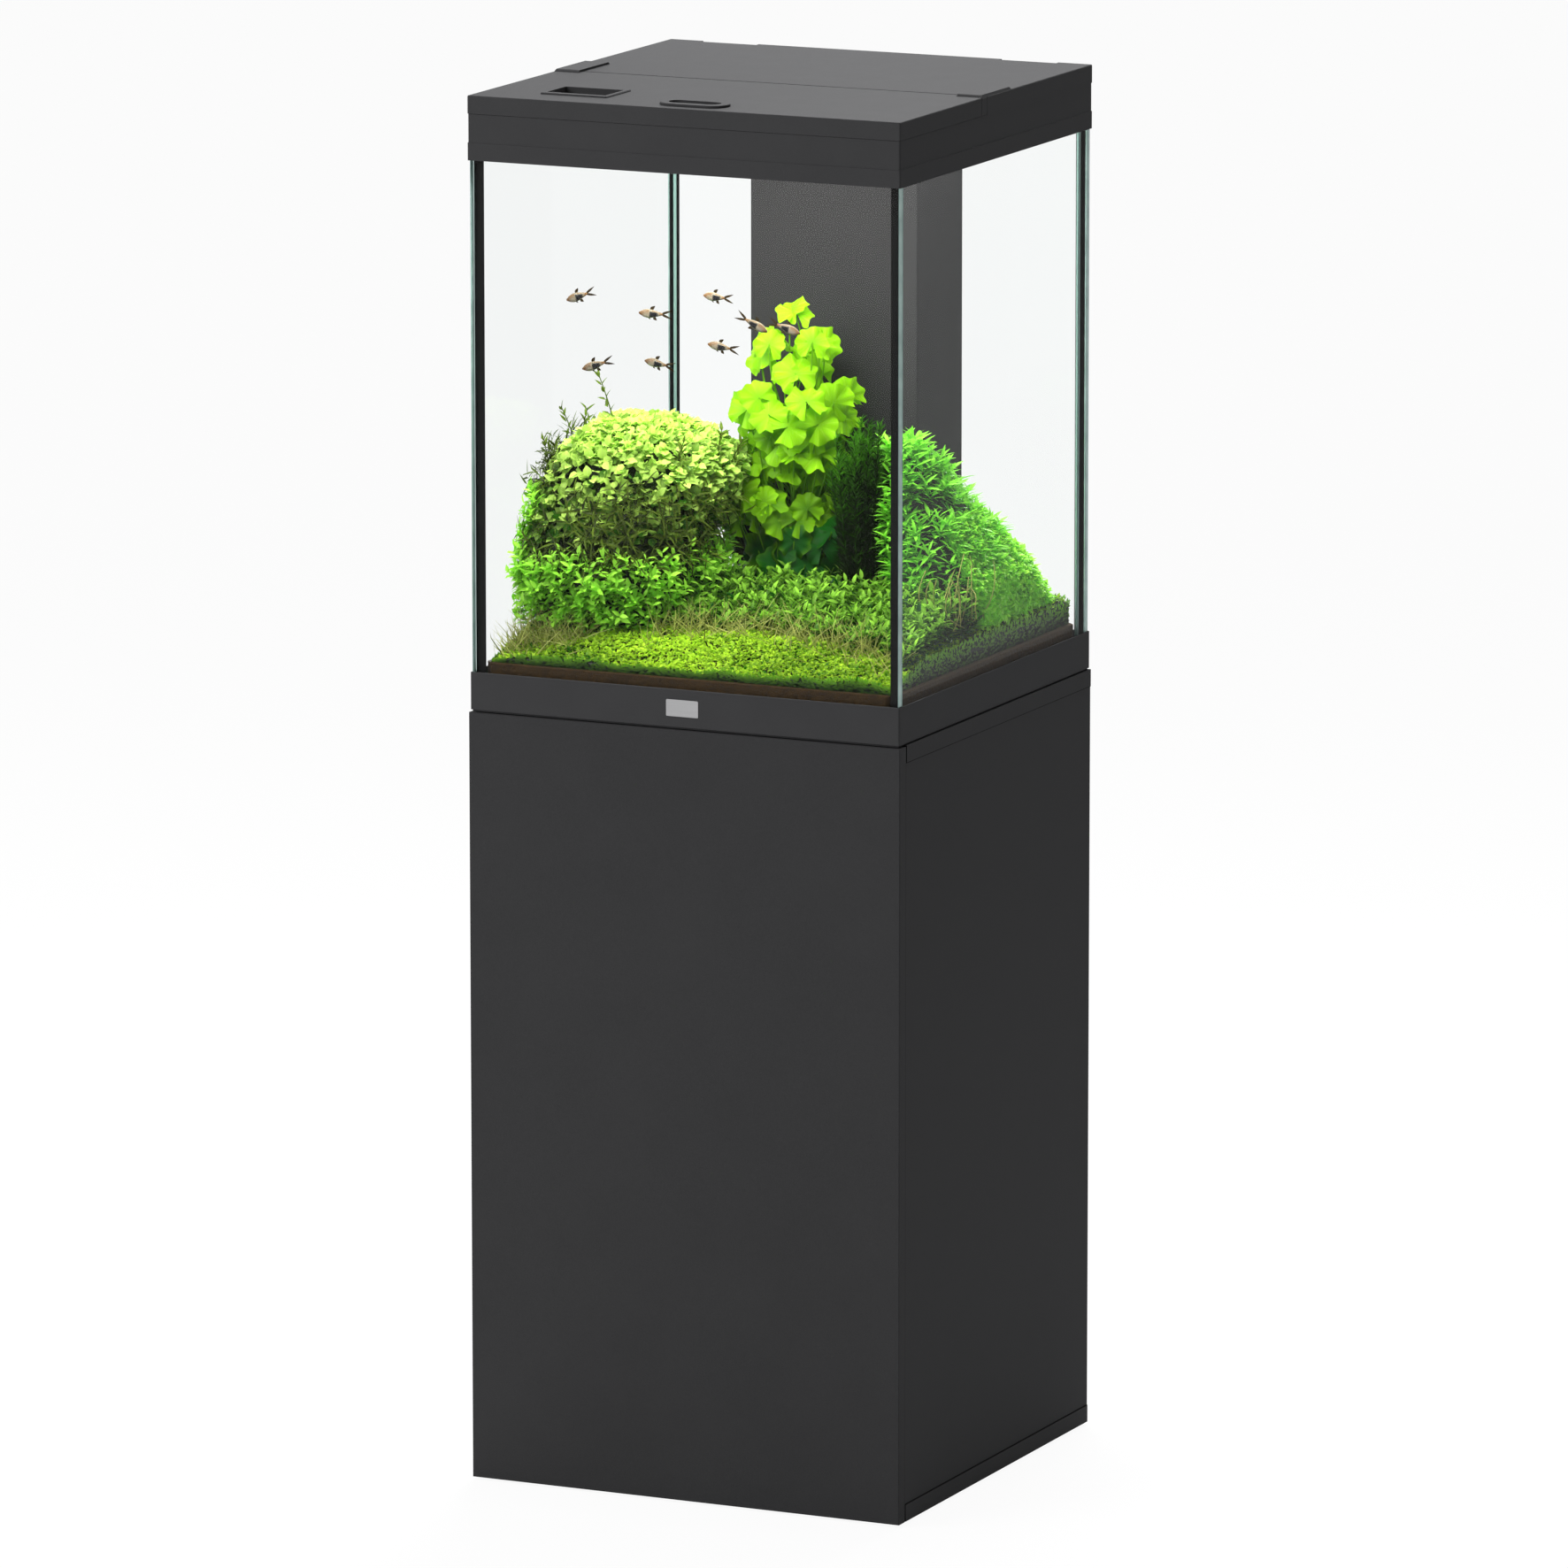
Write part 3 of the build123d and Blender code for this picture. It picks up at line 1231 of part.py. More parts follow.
# Lamp: extruded profile with cooling grooves, lens below, end caps and two holders
led_groove_pitch = 6.0
with BuildPart() as led_profile:
    with BuildSketch(Plane.YZ.offset(-led_half)):
        with Locations((led_y, led_bottom + led_height / 2)):
            RectangleRounded(led_width, led_height, 3)
        with Locations((led_y, led_bottom + led_height)):
            with GridLocations(led_groove_pitch, 1, 5, 1):
                Rectangle(2, 6, mode=Mode.SUBTRACT)
        with Locations((led_y, led_bottom)):
            Rectangle(led_width - 10, 5, mode=Mode.SUBTRACT)
    extrude(amount=2 * led_half)
led_profile.part.label = "led_profile"
export_step(led_profile.part, "parts/led_profile.step")

with BuildPart() as led_lens:
    with BuildSketch(Plane.XY.offset(led_bottom)):
        with Locations((0, led_y)):
            Rectangle(2 * led_half, led_width - 10 - 2 * fit)
    extrude(amount=2.4)
led_lens.part.label = "led_lens"
export_step(led_lens.part, "parts/led_lens.step")

led_cap = 8.0
with BuildPart() as led_end_caps:
    for side in (-1, 1):
        with BuildSketch(Plane.YZ.offset(side * led_half)):
            with Locations((led_y, led_bottom + led_height / 2)):
                RectangleRounded(led_width, led_height, 3)
        extrude(amount=side * led_cap)
led_end_caps.part.label = "led_end_caps"
export_step(led_end_caps.part, "parts/led_end_caps.step")

holder_foot = rim_top + band_floor
holder_end = band_half - band_wall
holder_start = led_half + led_cap
with BuildPart() as led_holders:
    for side in (-1, 1):
        with BuildSketch(Plane.XZ.offset(-led_y + 12)):
            with BuildLine():
                Polyline(
                    (side * holder_start, led_bottom),
                    (side * (holder_start + 3), led_bottom),
                    (side * (holder_start + 12), holder_foot),
                    (side * holder_end, holder_foot),
                    (side * holder_end, holder_foot + 4),
                    (side * (holder_start + 14), holder_foot + 4),
                    (side * (holder_start + 5), led_bottom + led_height),
                    (side * holder_start, led_bottom + led_height),
                    close=True,
                )
            make_face()
        extrude(amount=-24)
led_holders.part.label = "led_holders"
export_step(led_holders.part, "parts/led_holders.step")
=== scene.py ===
# %% [markdown]
# # A planted cube aquarium on its cabinet
# The CAD model comes in as a fixed frame and already holds every hard shape: boards, fittings, glass,
# filter column, hood and lamp. What is left for Blender is what solids can't show: the finishes, the
# clear glass, the light, and the planting, which CAD holds only as closed lumps.

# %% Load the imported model
import json

import bpy
import numpy as np
from mathutils import Matrix, Vector


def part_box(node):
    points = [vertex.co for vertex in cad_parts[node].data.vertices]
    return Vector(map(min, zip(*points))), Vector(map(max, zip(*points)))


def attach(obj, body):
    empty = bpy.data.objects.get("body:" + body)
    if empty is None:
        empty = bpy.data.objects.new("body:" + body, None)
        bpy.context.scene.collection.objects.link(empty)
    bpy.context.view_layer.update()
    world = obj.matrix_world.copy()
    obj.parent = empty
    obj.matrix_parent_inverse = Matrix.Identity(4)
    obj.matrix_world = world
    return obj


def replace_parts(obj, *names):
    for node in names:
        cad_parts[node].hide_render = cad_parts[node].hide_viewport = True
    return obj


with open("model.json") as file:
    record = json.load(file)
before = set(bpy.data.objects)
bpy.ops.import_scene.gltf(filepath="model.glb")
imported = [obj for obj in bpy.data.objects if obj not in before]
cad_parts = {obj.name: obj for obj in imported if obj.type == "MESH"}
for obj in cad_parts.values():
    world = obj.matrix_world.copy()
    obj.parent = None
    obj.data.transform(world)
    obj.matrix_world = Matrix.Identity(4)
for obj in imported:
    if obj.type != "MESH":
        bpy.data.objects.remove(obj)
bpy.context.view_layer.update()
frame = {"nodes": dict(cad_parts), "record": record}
nodes = frame["nodes"]
scene = bpy.context.scene
carcass = "cabinet_and_tank"
rng = np.random.default_rng(11)

# %% [markdown]
# ## Camera
# A product picture is taken from far away with a long lens, so that upright edges stay nearly
# parallel. The camera is set by its three axes rather than by angles, because these come straight
# out of a fit to the corners of the object.

# %% The camera
axis_right = Vector((0.90736, 0.42035, -0.00026))
axis_up = Vector((-0.08005, 0.17341, 0.98159))
axis_ahead = Vector((-0.41266, 0.89064, -0.19099))
camera_place = (5.4872, -11.84, 3.2879)
camera_data = bpy.data.cameras.new("studio_camera")
camera_data.sensor_width = 36.0
camera_data.lens = 280.1
camera_data.clip_end = 100.0
camera = bpy.data.objects.new("studio_camera", camera_data)
turn = Matrix((axis_right, axis_up, -axis_ahead)).transposed()
camera.matrix_world = Matrix.Translation(camera_place) @ turn.to_4x4()
scene.collection.objects.link(camera)
scene.camera = camera
print("camera lens", camera_data.lens, "mm")

# %% [markdown]
# ## Helpers for meshes
# Every new piece is a surface worked out as whole arrays. A grid of points with rows and columns gives
# quads by counting, and many copies of one small grid, such as leaves, are still one array.


# %% Colours, vectors and grids
def tint(red, green, blue):
    """A colour in display values from 0 to 255, as the linear values that shaders take: dark values are
    divided by 12.92, and the rest follow a power of 2.4."""
    share = np.array((red, green, blue)) / 255
    linear = np.where(share <= 0.04045, share / 12.92, ((share + 0.055) / 1.055) ** 2.4)
    return (*linear, 1.0)


def unit(vectors):
    """Each vector divided by its own length."""
    return vectors / np.linalg.norm(vectors, axis=-1, keepdims=True)


def grid(rows, columns):
    """The row value and the column value of every point of a grid."""
    return np.meshgrid(rows, columns, indexing="ij")


def around(count):
    """Angles of points that lie evenly round a circle."""
    return np.linspace(0, 2 * np.pi, count, endpoint=False)


def grid_quads(rows, columns, count=1, closed=False):
    """Corner numbers of the quads of `count` grids. A closed grid joins its last column to its first."""
    row = np.arange(rows - 1)[:, None]
    column = np.arange(columns if closed else columns - 1)[None, :]
    after = (column + 1) % columns
    low, high = row * columns, (row + 1) * columns
    one = np.stack([low + column, low + after, high + after, high + column], -1).reshape(-1, 4)
    return (one[None] + (np.arange(count) * rows * columns)[:, None, None]).reshape(-1, 4)


def end_caps(rows, columns):
    """One face over the first row and one over the last row of a closed grid."""
    return range(columns)[::-1], range((rows - 1) * columns, rows * columns)


any_angle = (0, 6.28)
wave_count, wave_gain = 7, 1.8


def waves(points, scale, seed=3):
    """Smooth noise from about -1 to 1: the mean of a few sine waves that run in fixed random directions."""
    draw = np.random.default_rng(seed)
    runs = draw.normal(size=(wave_count, 3)) * scale
    return np.sin(points @ runs.T + draw.uniform(*any_angle, wave_count)).mean(-1) * wave_gain


print("a closed grid of 3 by 4 points has", len(grid_quads(3, 4, closed=True)), "quads")


# %% From arrays to a piece
def draped(xs, ys, height, ground):
    """A closed block over a rectangle: a grid of height(x, y) whose outer ring drops to the ground, and one
    face below. Gives its points, its quads and that face."""
    x, y = np.pad(np.stack(np.meshgrid(xs, ys)), ((0, 0), (1, 1), (1, 1)), mode="edge")
    z = height(x, y)
    ring = np.ones_like(z, bool)
    ring[1:-1, 1:-1] = False
    z[ring] = ground
    number = np.arange(z.size).reshape(z.shape)
    under = np.concatenate([number[0, :-1], number[:-1, -1], number[-1, :0:-1], number[:0:-1, 0]])[::-1]
    return np.stack([x, y, z], -1), grid_quads(*z.shape), under


def make_piece(name, points, faces, material, uv=None, tone=None, caps=(), body=carcass):
    """Put arrays into a mesh: points, quads and a few larger cap faces, a UV map and a tone per point."""
    mesh = bpy.data.meshes.new(name)
    mesh.from_pydata(points.reshape(-1, 3), [], faces.tolist() + [list(cap) for cap in caps])
    mesh.polygons.foreach_set("use_smooth", np.ones(len(mesh.polygons), bool))
    if uv is not None:
        corner = np.zeros(len(mesh.loops), np.int32)
        mesh.loops.foreach_get("vertex_index", corner)
        mesh.uv_layers.new(name="leaf").data.foreach_set("uv", uv[corner].astype(np.float32).ravel())
    if tone is not None:
        mesh.attributes.new("tone", "FLOAT", "POINT").data.foreach_set("value", tone.astype(np.float32))
    mesh.materials.append(material)
    piece = bpy.data.objects.new(name, mesh)
    scene.collection.objects.link(piece)
    if body:
        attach(piece, body)
    return piece


print("new pieces ride on", carcass)

# %% [markdown]
# ## Light and floor
# The picture has a pure white ground and soft light from the left. White comes from rays that the
# camera sends out itself, through glass or off a polished face. All other rays meet a gentler sky that is
# brighter at the left and above than at the right, as in a studio with one large soft box, so the right
# side of the cabinet falls off a little. The lamp in the hood lights the planting from above.


# %% Node helpers
def node(tree, kind, inputs=(), **settings):
    """Add a shader node and give its outputs. Each of its inputs gets a value or another node's output."""
    made = tree.nodes.new("ShaderNode" + kind)
    for key, value in settings.items():
        setattr(made, key, value)
    for key, value in dict(inputs).items():
        if isinstance(value, bpy.types.NodeSocket):
            tree.links.new(value, made.inputs[key])
        else:
            made.inputs[key].default_value = value
    return made.outputs


def maths(tree, operation, *values):
    """One step of arithmetic."""
    return node(tree, "Math", enumerate(values), operation=operation)[0]


def remap(tree, value, ends, new_ends, **settings):
    """A value between two ends, moved to lie between two new ends."""
    return node(tree, "MapRange", enumerate((value, *ends, *new_ends)), **settings)[0]


def blend(tree, share, first, second):
    """The colour that lies a share of the way from one colour to another."""
    return node(tree, "Mix", {0: share, 6: first, 7: second}, data_type="RGBA")[2]


def layered(tree, share, first, second):
    """A share of the second shader over the first."""
    return node(tree, "MixShader", {0: share, 1: first, 2: second})[0]


def at_object(tree):
    """X, Y and Z of the point, in the object's own coordinates."""
    return node(tree, "SeparateXYZ", {0: node(tree, "TexCoord")["Object"]})


def new_material(name):
    """An empty material and its node tree."""
    material = bpy.data.materials.new(name)
    material.use_nodes = True
    material.node_tree.nodes.clear()
    return material, material.node_tree


def show(tree, shader):
    """Put a shader on the material's output."""
    node(tree, "OutputMaterial", {"Surface": shader})


def white_rays(tree):
    """1 for rays that show the white ground directly, through glass or in a mirror, 0 for all others."""
    path = node(tree, "LightPath")
    straight = maths(tree, "MAXIMUM", path["Is Camera Ray"], path["Is Transmission Ray"])
    return maths(tree, "MAXIMUM", straight, path["Is Glossy Ray"])


white = (1, 1, 1, 1)
print("node helpers ready")

# %% The sky
soft_side = (-0.8, -0.2, 0.56)
world = bpy.data.worlds.new("studio_sky")
scene.world = world
world.use_nodes = True
sky = world.node_tree
sky.nodes.clear()
toward = node(sky, "VectorMath", {0: node(sky, "TexCoord")["Generated"], 1: soft_side},
              operation="DOT_PRODUCT")["Value"]
soft = node(sky, "Background", {"Strength": remap(sky, toward, (-0.5, 0.7), (0.05, 0.9))})[0]
ground_white = node(sky, "Background", {"Color": white, "Strength": 1.0})[0]
node(sky, "OutputWorld", {"Surface": layered(sky, white_rays(sky), soft, ground_white)})
print("sky is brightest towards", soft_side)


# %% The lamps
def area_light(name, place, target, size, power, colour=(1, 1, 1)):
    """A rectangular lamp at a place, turned to face a target."""
    data = bpy.data.lights.new(name, "AREA")
    data.shape = "RECTANGLE"
    data.size, data.size_y = size
    data.energy = power
    data.color = colour
    lamp = bpy.data.objects.new(name, data)
    lamp.location = place
    lamp.rotation_euler = (Vector(target) - Vector(place)).to_track_quat("-Z", "Y").to_euler()
    scene.collection.objects.link(lamp)
    return lamp


area_light("key_softbox", (-2.6, -3.4, 3.4), (0, 0, 0.8), (2.4, 2.4), 150)
area_light("top_softbox", (-0.3, 1.6, 3.5), (0, 0, 1.5), (1.6, 1.6), 200)
lamp_white = (1.0, 0.98, 0.94)
tank_glows = (("tank_glow_front", (0, -0.205, 1.468), (0, 0.08, 0.98), (0.44, 0.05), 4.2),
              ("tank_glow_all", (0.02, 0.03, 1.472), (0.02, 0.03, 0.95), (0.44, 0.40), 3.2))
for glow_row in tank_glows:
    glow_lamp = area_light(*glow_row, lamp_white)
    glow_lamp.visible_camera = False
    glow_lamp.visible_glossy = False
print("two soft boxes and", len(tank_glows), "lamps under the hood")

# %% The floor
floor_reach, floor_drop, floor_glow = 20.0, 0.0005, 0.94
pale_floor, tree = new_material("pale_floor")
matt = node(tree, "BsdfDiffuse", {"Color": (0.8, 0.8, 0.8, 1)})[0]
glow = node(tree, "Emission", {"Color": white, "Strength": 1.0})[0]
show(tree, layered(tree, maths(tree, "MULTIPLY", white_rays(tree), floor_glow), matt, glow))
floor_ends = (-floor_reach, floor_reach)
floor_corners = np.array([(x, y, -floor_drop) for y in floor_ends for x in floor_ends])
make_piece("studio_floor", floor_corners, grid_quads(2, 2), pale_floor, body=None)
print("floor reaches", floor_reach, "m")

# %% [markdown]
# ## Shared grain
# Melamine board, moulded plastic, foam and brushed metal all have a fine texture that changes both
# the tone and the height of the surface a little. It is one node group with its own scale and
# stretch, so each finish sets how coarse it is and which way it runs. Where the cabinet's boards meet, the
# gap is thinner than a pixel, so their finish also carries a painted shadow: a thin dark line at each joint
# for the shade in the gap. The door has no joint and gets the same finish without them.


# %% The grain group
def new_group(name, inputs, outputs):
    """An empty shader node group: labels and first values of its inputs, labels of the values it puts out.
    Gives its tree, its inputs and its outputs."""
    tree = bpy.data.node_groups.new(name, "ShaderNodeTree")
    for label, value in inputs.items():
        kind = "NodeSocketVector" if isinstance(value, tuple) else "NodeSocketFloat"
        tree.interface.new_socket(label, in_out="INPUT", socket_type=kind).default_value = value
    for label in outputs:
        tree.interface.new_socket(label, in_out="OUTPUT", socket_type="NodeSocketFloat")
    return tree, tree.nodes.new("NodeGroupInput").outputs, tree.nodes.new("NodeGroupOutput").inputs


patch_scale, patch_share = 0.015, 0.35
grain, given, result = new_group("fine_grain", {"Scale": 500.0, "Stretch": (1, 1, 1)}, ("Tone", "Height"))
place = node(grain, "VectorMath", {0: node(grain, "TexCoord")["Object"], 1: given["Stretch"]},
             operation="MULTIPLY")[0]
fine = node(grain, "TexNoise", {"Vector": place, "Scale": given["Scale"], "Detail": 4.0})[0]
broad_scale = maths(grain, "MULTIPLY", given["Scale"], patch_scale)
broad = node(grain, "TexNoise", {"Vector": place, "Scale": broad_scale, "Detail": 2.0})[0]
grain.links.new(node(grain, "Mix", {0: patch_share, 2: fine, 3: broad})[0], result["Tone"])
grain.links.new(fine, result["Height"])


def grain_in(tree, scale, stretch=(1, 1, 1)):
    """The shared grain, placed in a material."""
    return node(tree, "Group", {"Scale": scale, "Stretch": stretch}, node_tree=grain)


def raised(tree, height, strength, distance=0.0006):
    """A normal for a surface that is raised by a height from 0 to 1 times a distance."""
    return node(tree, "Bump", {"Strength": strength, "Distance": distance, "Height": height})[0]


print("grain group with", len(grain.nodes), "nodes")

# %% Finishes with grain
# Painted shadow: a thin near-black line along each joint of the cabinet's boards, for the shade in the gap
# between them.
gap_shadow_width, gap_shadow_black = 0.0006, tint(16, 16, 16)
board_joints = (("Z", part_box("cabinet_top_panel")[0].z), ("Z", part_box("cabinet_bottom_panel")[1].z),
                ("Y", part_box("cabinet_left_side")[0].y))


def grained(name, dark, light, rough, scale, bump, specular=0.3, stretch=(1, 1, 1), metallic=0.0,
            gap_shadows=()):
    """A finish whose colour and roughness run between two values with the grain, and whose grain is raised.
    Each painted gap shadow is an axis and a place along it, where the colour drops to nearly black."""
    material, tree = new_material(name)
    texture = grain_in(tree, scale, stretch)
    colour = blend(tree, texture["Tone"], dark, light)
    # Painted shadow of the gap at each board joint: the colour drops to near black there.
    for axis, level in gap_shadows:
        gap_shadow_mask = maths(tree, "COMPARE", at_object(tree)[axis], level, gap_shadow_width)
        colour = blend(tree, gap_shadow_mask, colour, gap_shadow_black)
    show(tree, node(tree, "BsdfPrincipled", {
        "Base Color": colour, "Roughness": remap(tree, texture["Tone"], (0.3, 0.7), rough),
        "Normal": raised(tree, texture["Height"], bump), "Metallic": metallic,
        "Specular IOR Level": specular})[0])
    return material


board_grain = (tint(47, 47, 48), tint(57, 57, 58), (0.5, 0.6), 900, 0.12, 0.014)
metal = {"specular": 0.5, "metallic": 1.0}
finishes = {
    "anthracite_board": grained("anthracite_melamine", *board_grain, gap_shadows=board_joints),
    "hood_plastic": grained("moulded_anthracite", tint(51, 51, 52), tint(62, 62, 63),
                            (0.4, 0.5), 1400, 0.12, 0.008),
    "black_plastic": grained("black_moulding", tint(22, 22, 23), tint(32, 32, 33), (0.4, 0.6), 1200, 0.2),
    "steel": grained("nickel_steel", tint(176, 176, 178), tint(214, 214, 214), (0.2, 0.38), 500, 0.08,
                     stretch=(1, 1, 9), **metal),
    "beech": grained("beech_dowel", tint(168, 126, 84), tint(206, 170, 124), (0.5, 0.7), 300, 0.3,
                     stretch=(6, 6, 1)),
    "badge_metal": grained("satin_silver", tint(148, 148, 149), tint(184, 184, 185), (0.25, 0.4), 700, 0.06,
                           stretch=(1, 1, 14), **metal),
    "foam": grained("filter_foam", tint(30, 36, 46), tint(58, 68, 84), (0.85, 0.95), 700, 0.9, 0.1),
    "lamp_metal": grained("anodised_lamp", tint(176, 178, 180), tint(206, 208, 210), (0.25, 0.4), 600, 0.06,
                          stretch=(14, 1, 1), **metal),
}
plain_board = grained("door_melamine", *board_grain)
column_grey = grained("filter_column_grey", tint(38, 38, 39), tint(45, 45, 46), (0.45, 0.6), 1100, 0.03, 0.05)
print(len(finishes) + 2, "finishes with grain")

# %% [markdown]
# Silicone joints are black, but where one lies behind the end of a side pane at the back, it is seen through
# the pane's length and looks green. A mask on the place of the point tells the two apart. The lamp's lens
# is opal and gives light itself.

# %% Silicone and lamp lens
pane_end_x, back_y = 0.2412, 0.2
finishes["silicone"], tree = new_material("black_silicone")
texture = grain_in(tree, 260)
place = at_object(tree)
behind = maths(tree, "GREATER_THAN", maths(tree, "ABSOLUTE", place["X"]), pane_end_x)
at_back = maths(tree, "GREATER_THAN", place["Y"], back_y)
black = blend(tree, texture["Tone"], tint(10, 10, 10), tint(24, 24, 24))
colour = blend(tree, maths(tree, "MULTIPLY", behind, at_back), black, tint(120, 150, 144))
show(tree, node(tree, "BsdfPrincipled", {
    "Base Color": colour, "Roughness": 0.35, "Normal": raised(tree, texture["Height"], 0.2),
    "Specular IOR Level": 0.1})[0])

finishes["lamp_lens"], tree = new_material("opal_lens")
milk = blend(tree, grain_in(tree, 350)["Tone"], tint(232, 236, 240), tint(250, 252, 255))
show(tree, node(tree, "BsdfPrincipled", {
    "Base Color": milk, "Roughness": 0.35, "Emission Color": milk, "Emission Strength": 3.0})[0])
print("silicone and lens make", len(finishes), "finishes by slot")

# %% [markdown]
# ## Glass
# Float glass is clear on its faces and green at its ground edges, because there one looks along the
# pane. Bending light in every pane would hide the plants from the lamps, so the faces let light
# straight through and only mirror more as the view gets flatter: a little head on, and more by the
# fifth power of how far the face is turned away.


# %% Panes
def mirror_share(tree, head_on, flat):
    """How much a face mirrors, from Layer Weight: head_on + flat * turned_away ** 5."""
    away = node(tree, "LayerWeight", {"Blend": 0.5})["Facing"]
    return maths(tree, "MULTIPLY_ADD", maths(tree, "POWER", away, 5.0), flat, head_on)


def axis_mask(tree, axis, limit=0.9):
    """1 where the face looks along the named axis, 0 elsewhere."""
    normal = node(tree, "NewGeometry")["True Normal"]
    part = node(tree, "SeparateXYZ", {0: normal})[axis]
    return maths(tree, "GREATER_THAN", maths(tree, "ABSOLUTE", part), limit)


def pane(axis, clear_tint):
    """Clear glass for a pane whose faces look along one axis, with green edges."""
    material, tree = new_material("float_glass_" + axis.lower())
    clear = node(tree, "BsdfTransparent", {"Color": clear_tint})[0]
    mirror = node(tree, "BsdfGlossy", {"Color": white, "Roughness": 0.0})[0]
    face = layered(tree, mirror_share(tree, 0.004, 0.2), clear, mirror)
    streak = node(tree, "TexNoise", {"Vector": node(tree, "TexCoord")["Object"], "Scale": 40.0})[0]
    green = blend(tree, streak, tint(96, 128, 122), tint(176, 206, 200))
    edge = node(tree, "BsdfPrincipled", {"Base Color": green, "Roughness": 0.2})[0]
    show(tree, layered(tree, axis_mask(tree, axis), edge, face))
    return material


side_pane = pane("X", (0.984, 0.989, 0.987, 1))
front_pane = pane("Y", (0.996, 0.999, 0.998, 1))
bottom_pane = pane("Z", (0.98, 0.99, 0.985, 1))
panes = {"glass_front": front_pane, "glass_back": front_pane, "glass_left": side_pane,
         "glass_right": side_pane, "glass_bottom": bottom_pane}
print(len(panes), "panes")

# %% Finishes onto the CAD nodes
planted = ("soil_bed", "plant_carpet", "bush_left", "bush_right", "broadleaf_plant", "fern_clumps")


def dress(name, material):
    """Give a CAD node its finish."""
    mesh = nodes[name].data
    mesh.materials.clear()
    mesh.materials.append(material)


for row in frame["record"]["subparts"]:
    if row["node"] in panes:
        dress(row["node"], panes[row["node"]])
    elif row["node"] not in planted:
        dress(row["node"], finishes[row["material_slot"]])
dress("filter_housing", column_grey)
dress("cabinet_door", plain_board)
print("dressed", len(nodes) - len(planted), "CAD nodes")

# %% [markdown]
# ## Leaves
# A leaf is a small grid: one parameter runs from stalk to tip, the other across. A width rule gives the
# outline, and folding and drooping bend it. Water plants carry their leaves in pairs or whorls on upright
# shoots, so a second helper sets leaf feet along shoots. All leaves of a plant are one array, so thousands
# of them cost no loop. Real leaves let light through, so a translucent share is mixed in.


# %% Leaf and shoot shapes
def leaf_cloud(spots, headings, facing, lengths, widths, outline, droop=0.2, fold=0.25, rows=4, columns=3):
    """Points of many leaves: spot + heading * length * u + side * width * outline(u) * v / 2
    + normal * (fold * |across| - droop * length * u squared)."""
    u, v = (values.ravel() for values in grid(np.linspace(0, 1, rows), np.linspace(-1, 1, columns)))
    heading = unit(headings)
    side = unit(np.cross(facing, heading))
    normal = np.cross(heading, side)
    along = lengths[:, None] * u
    across = widths[:, None] * outline(u) * v / 2
    rise = fold * np.abs(across) - droop * lengths[:, None] * u**2
    points = (spots[:, None] + along[..., None] * heading[:, None] + across[..., None] * side[:, None]
              + rise[..., None] * normal[:, None])
    uv = np.tile(np.stack([u, (v + 1) / 2], -1), (len(spots), 1))
    return points, grid_quads(rows, columns, len(spots)), uv


def shoots(feet, ways, tall, leaves, spread, ring=2):
    """Leaf feet, headings and upper sides along many shoots, and the step of each leaf from 0 to 1: `ring`
    leaves stand round each knot, every knot is turned against the last, and leaves close up to the tip."""
    number = np.arange(leaves)
    step = (number // ring + 0.8) / (leaves / ring)
    way = unit(ways)[:, None]
    side = unit(np.cross(way, (0.3, 0.1, 0.02)))
    other = np.cross(way, side)
    angle = 2 * np.pi / ring * (number % ring) + np.pi / ring * (number // ring)
    angle = (angle + rng.uniform(*any_angle, (len(feet), 1)))[..., None]
    out = np.cos(angle) * side + np.sin(angle) * other
    at = feet[:, None] + way * (tall[:, None] * step)[..., None]
    headings = out * spread + way * (0.2 + 0.8 * step**2)[None, :, None] + rng.normal(0, 0.12, out.shape)
    upper = way - 0.3 * out
    return at.reshape(-1, 3), headings.reshape(-1, 3), upper.reshape(-1, 3), np.tile(step, len(feet))


def oval(u):
    """Half-sine outline with a small tip."""
    return 0.08 + 0.92 * np.sin(np.pi * u**0.85) ** 0.8


def lance(u):
    """Narrow outline, widest in the lower third."""
    return 0.06 + 0.94 * np.sin(np.pi * u**0.7)


def blade(u):
    """Grass outline, tapering all the way."""
    return 1 - 0.92 * u


def spread_tone(values, uv, tip=0.3):
    """One tone per leaf, copied to all its points and a little lighter towards the tip."""
    return np.clip(np.repeat(values, len(uv) // len(values)) + tip * (uv[:, 0] - 0.5), 0, 1)


print("a grass blade ends at", blade(1.0), "of its width")

# %% Leaf finishes
marks, given, result = new_group("leaf_veins", {"Veins": 1.0, "Width": 0.2}, ("Vein",))
across = node(marks, "SeparateXYZ", {0: node(marks, "UVMap", uv_map="leaf")[0]})["Y"]
phase = maths(marks, "MULTIPLY", maths(marks, "SUBTRACT", across, 0.5), given["Veins"])
swing = maths(marks, "SINE", maths(marks, "MULTIPLY", phase, np.pi))
line = remap(marks, maths(marks, "ABSOLUTE", swing), (0.0, given["Width"]), (1.0, 0.0),
             interpolation_type="SMOOTHSTEP")
marks.links.new(line, result["Vein"])


def leafy(name, shade, light, rib, veins=1.0, translucent=0.38):
    """A leaf finish: tone runs from shade to light. Veins are slightly raised, and paler on light leaves."""
    material, tree = new_material(name)
    tone = node(tree, "Attribute", attribute_name="tone")["Fac"]
    vein = node(tree, "Group", {"Veins": veins, "Width": 0.22}, node_tree=marks)["Vein"]
    paler = maths(tree, "MULTIPLY", vein, maths(tree, "MULTIPLY", tone, 0.5))
    colour = blend(tree, paler, blend(tree, tone, shade, light), rib)
    surface = node(tree, "BsdfPrincipled", {
        "Base Color": colour, "Roughness": 0.4, "Normal": raised(tree, vein, 0.35, 0.0005),
        "Specular IOR Level": 0.25})[0]
    through = node(tree, "BsdfTranslucent", {"Color": colour})[0]
    show(tree, layered(tree, translucent, surface, through))
    return material


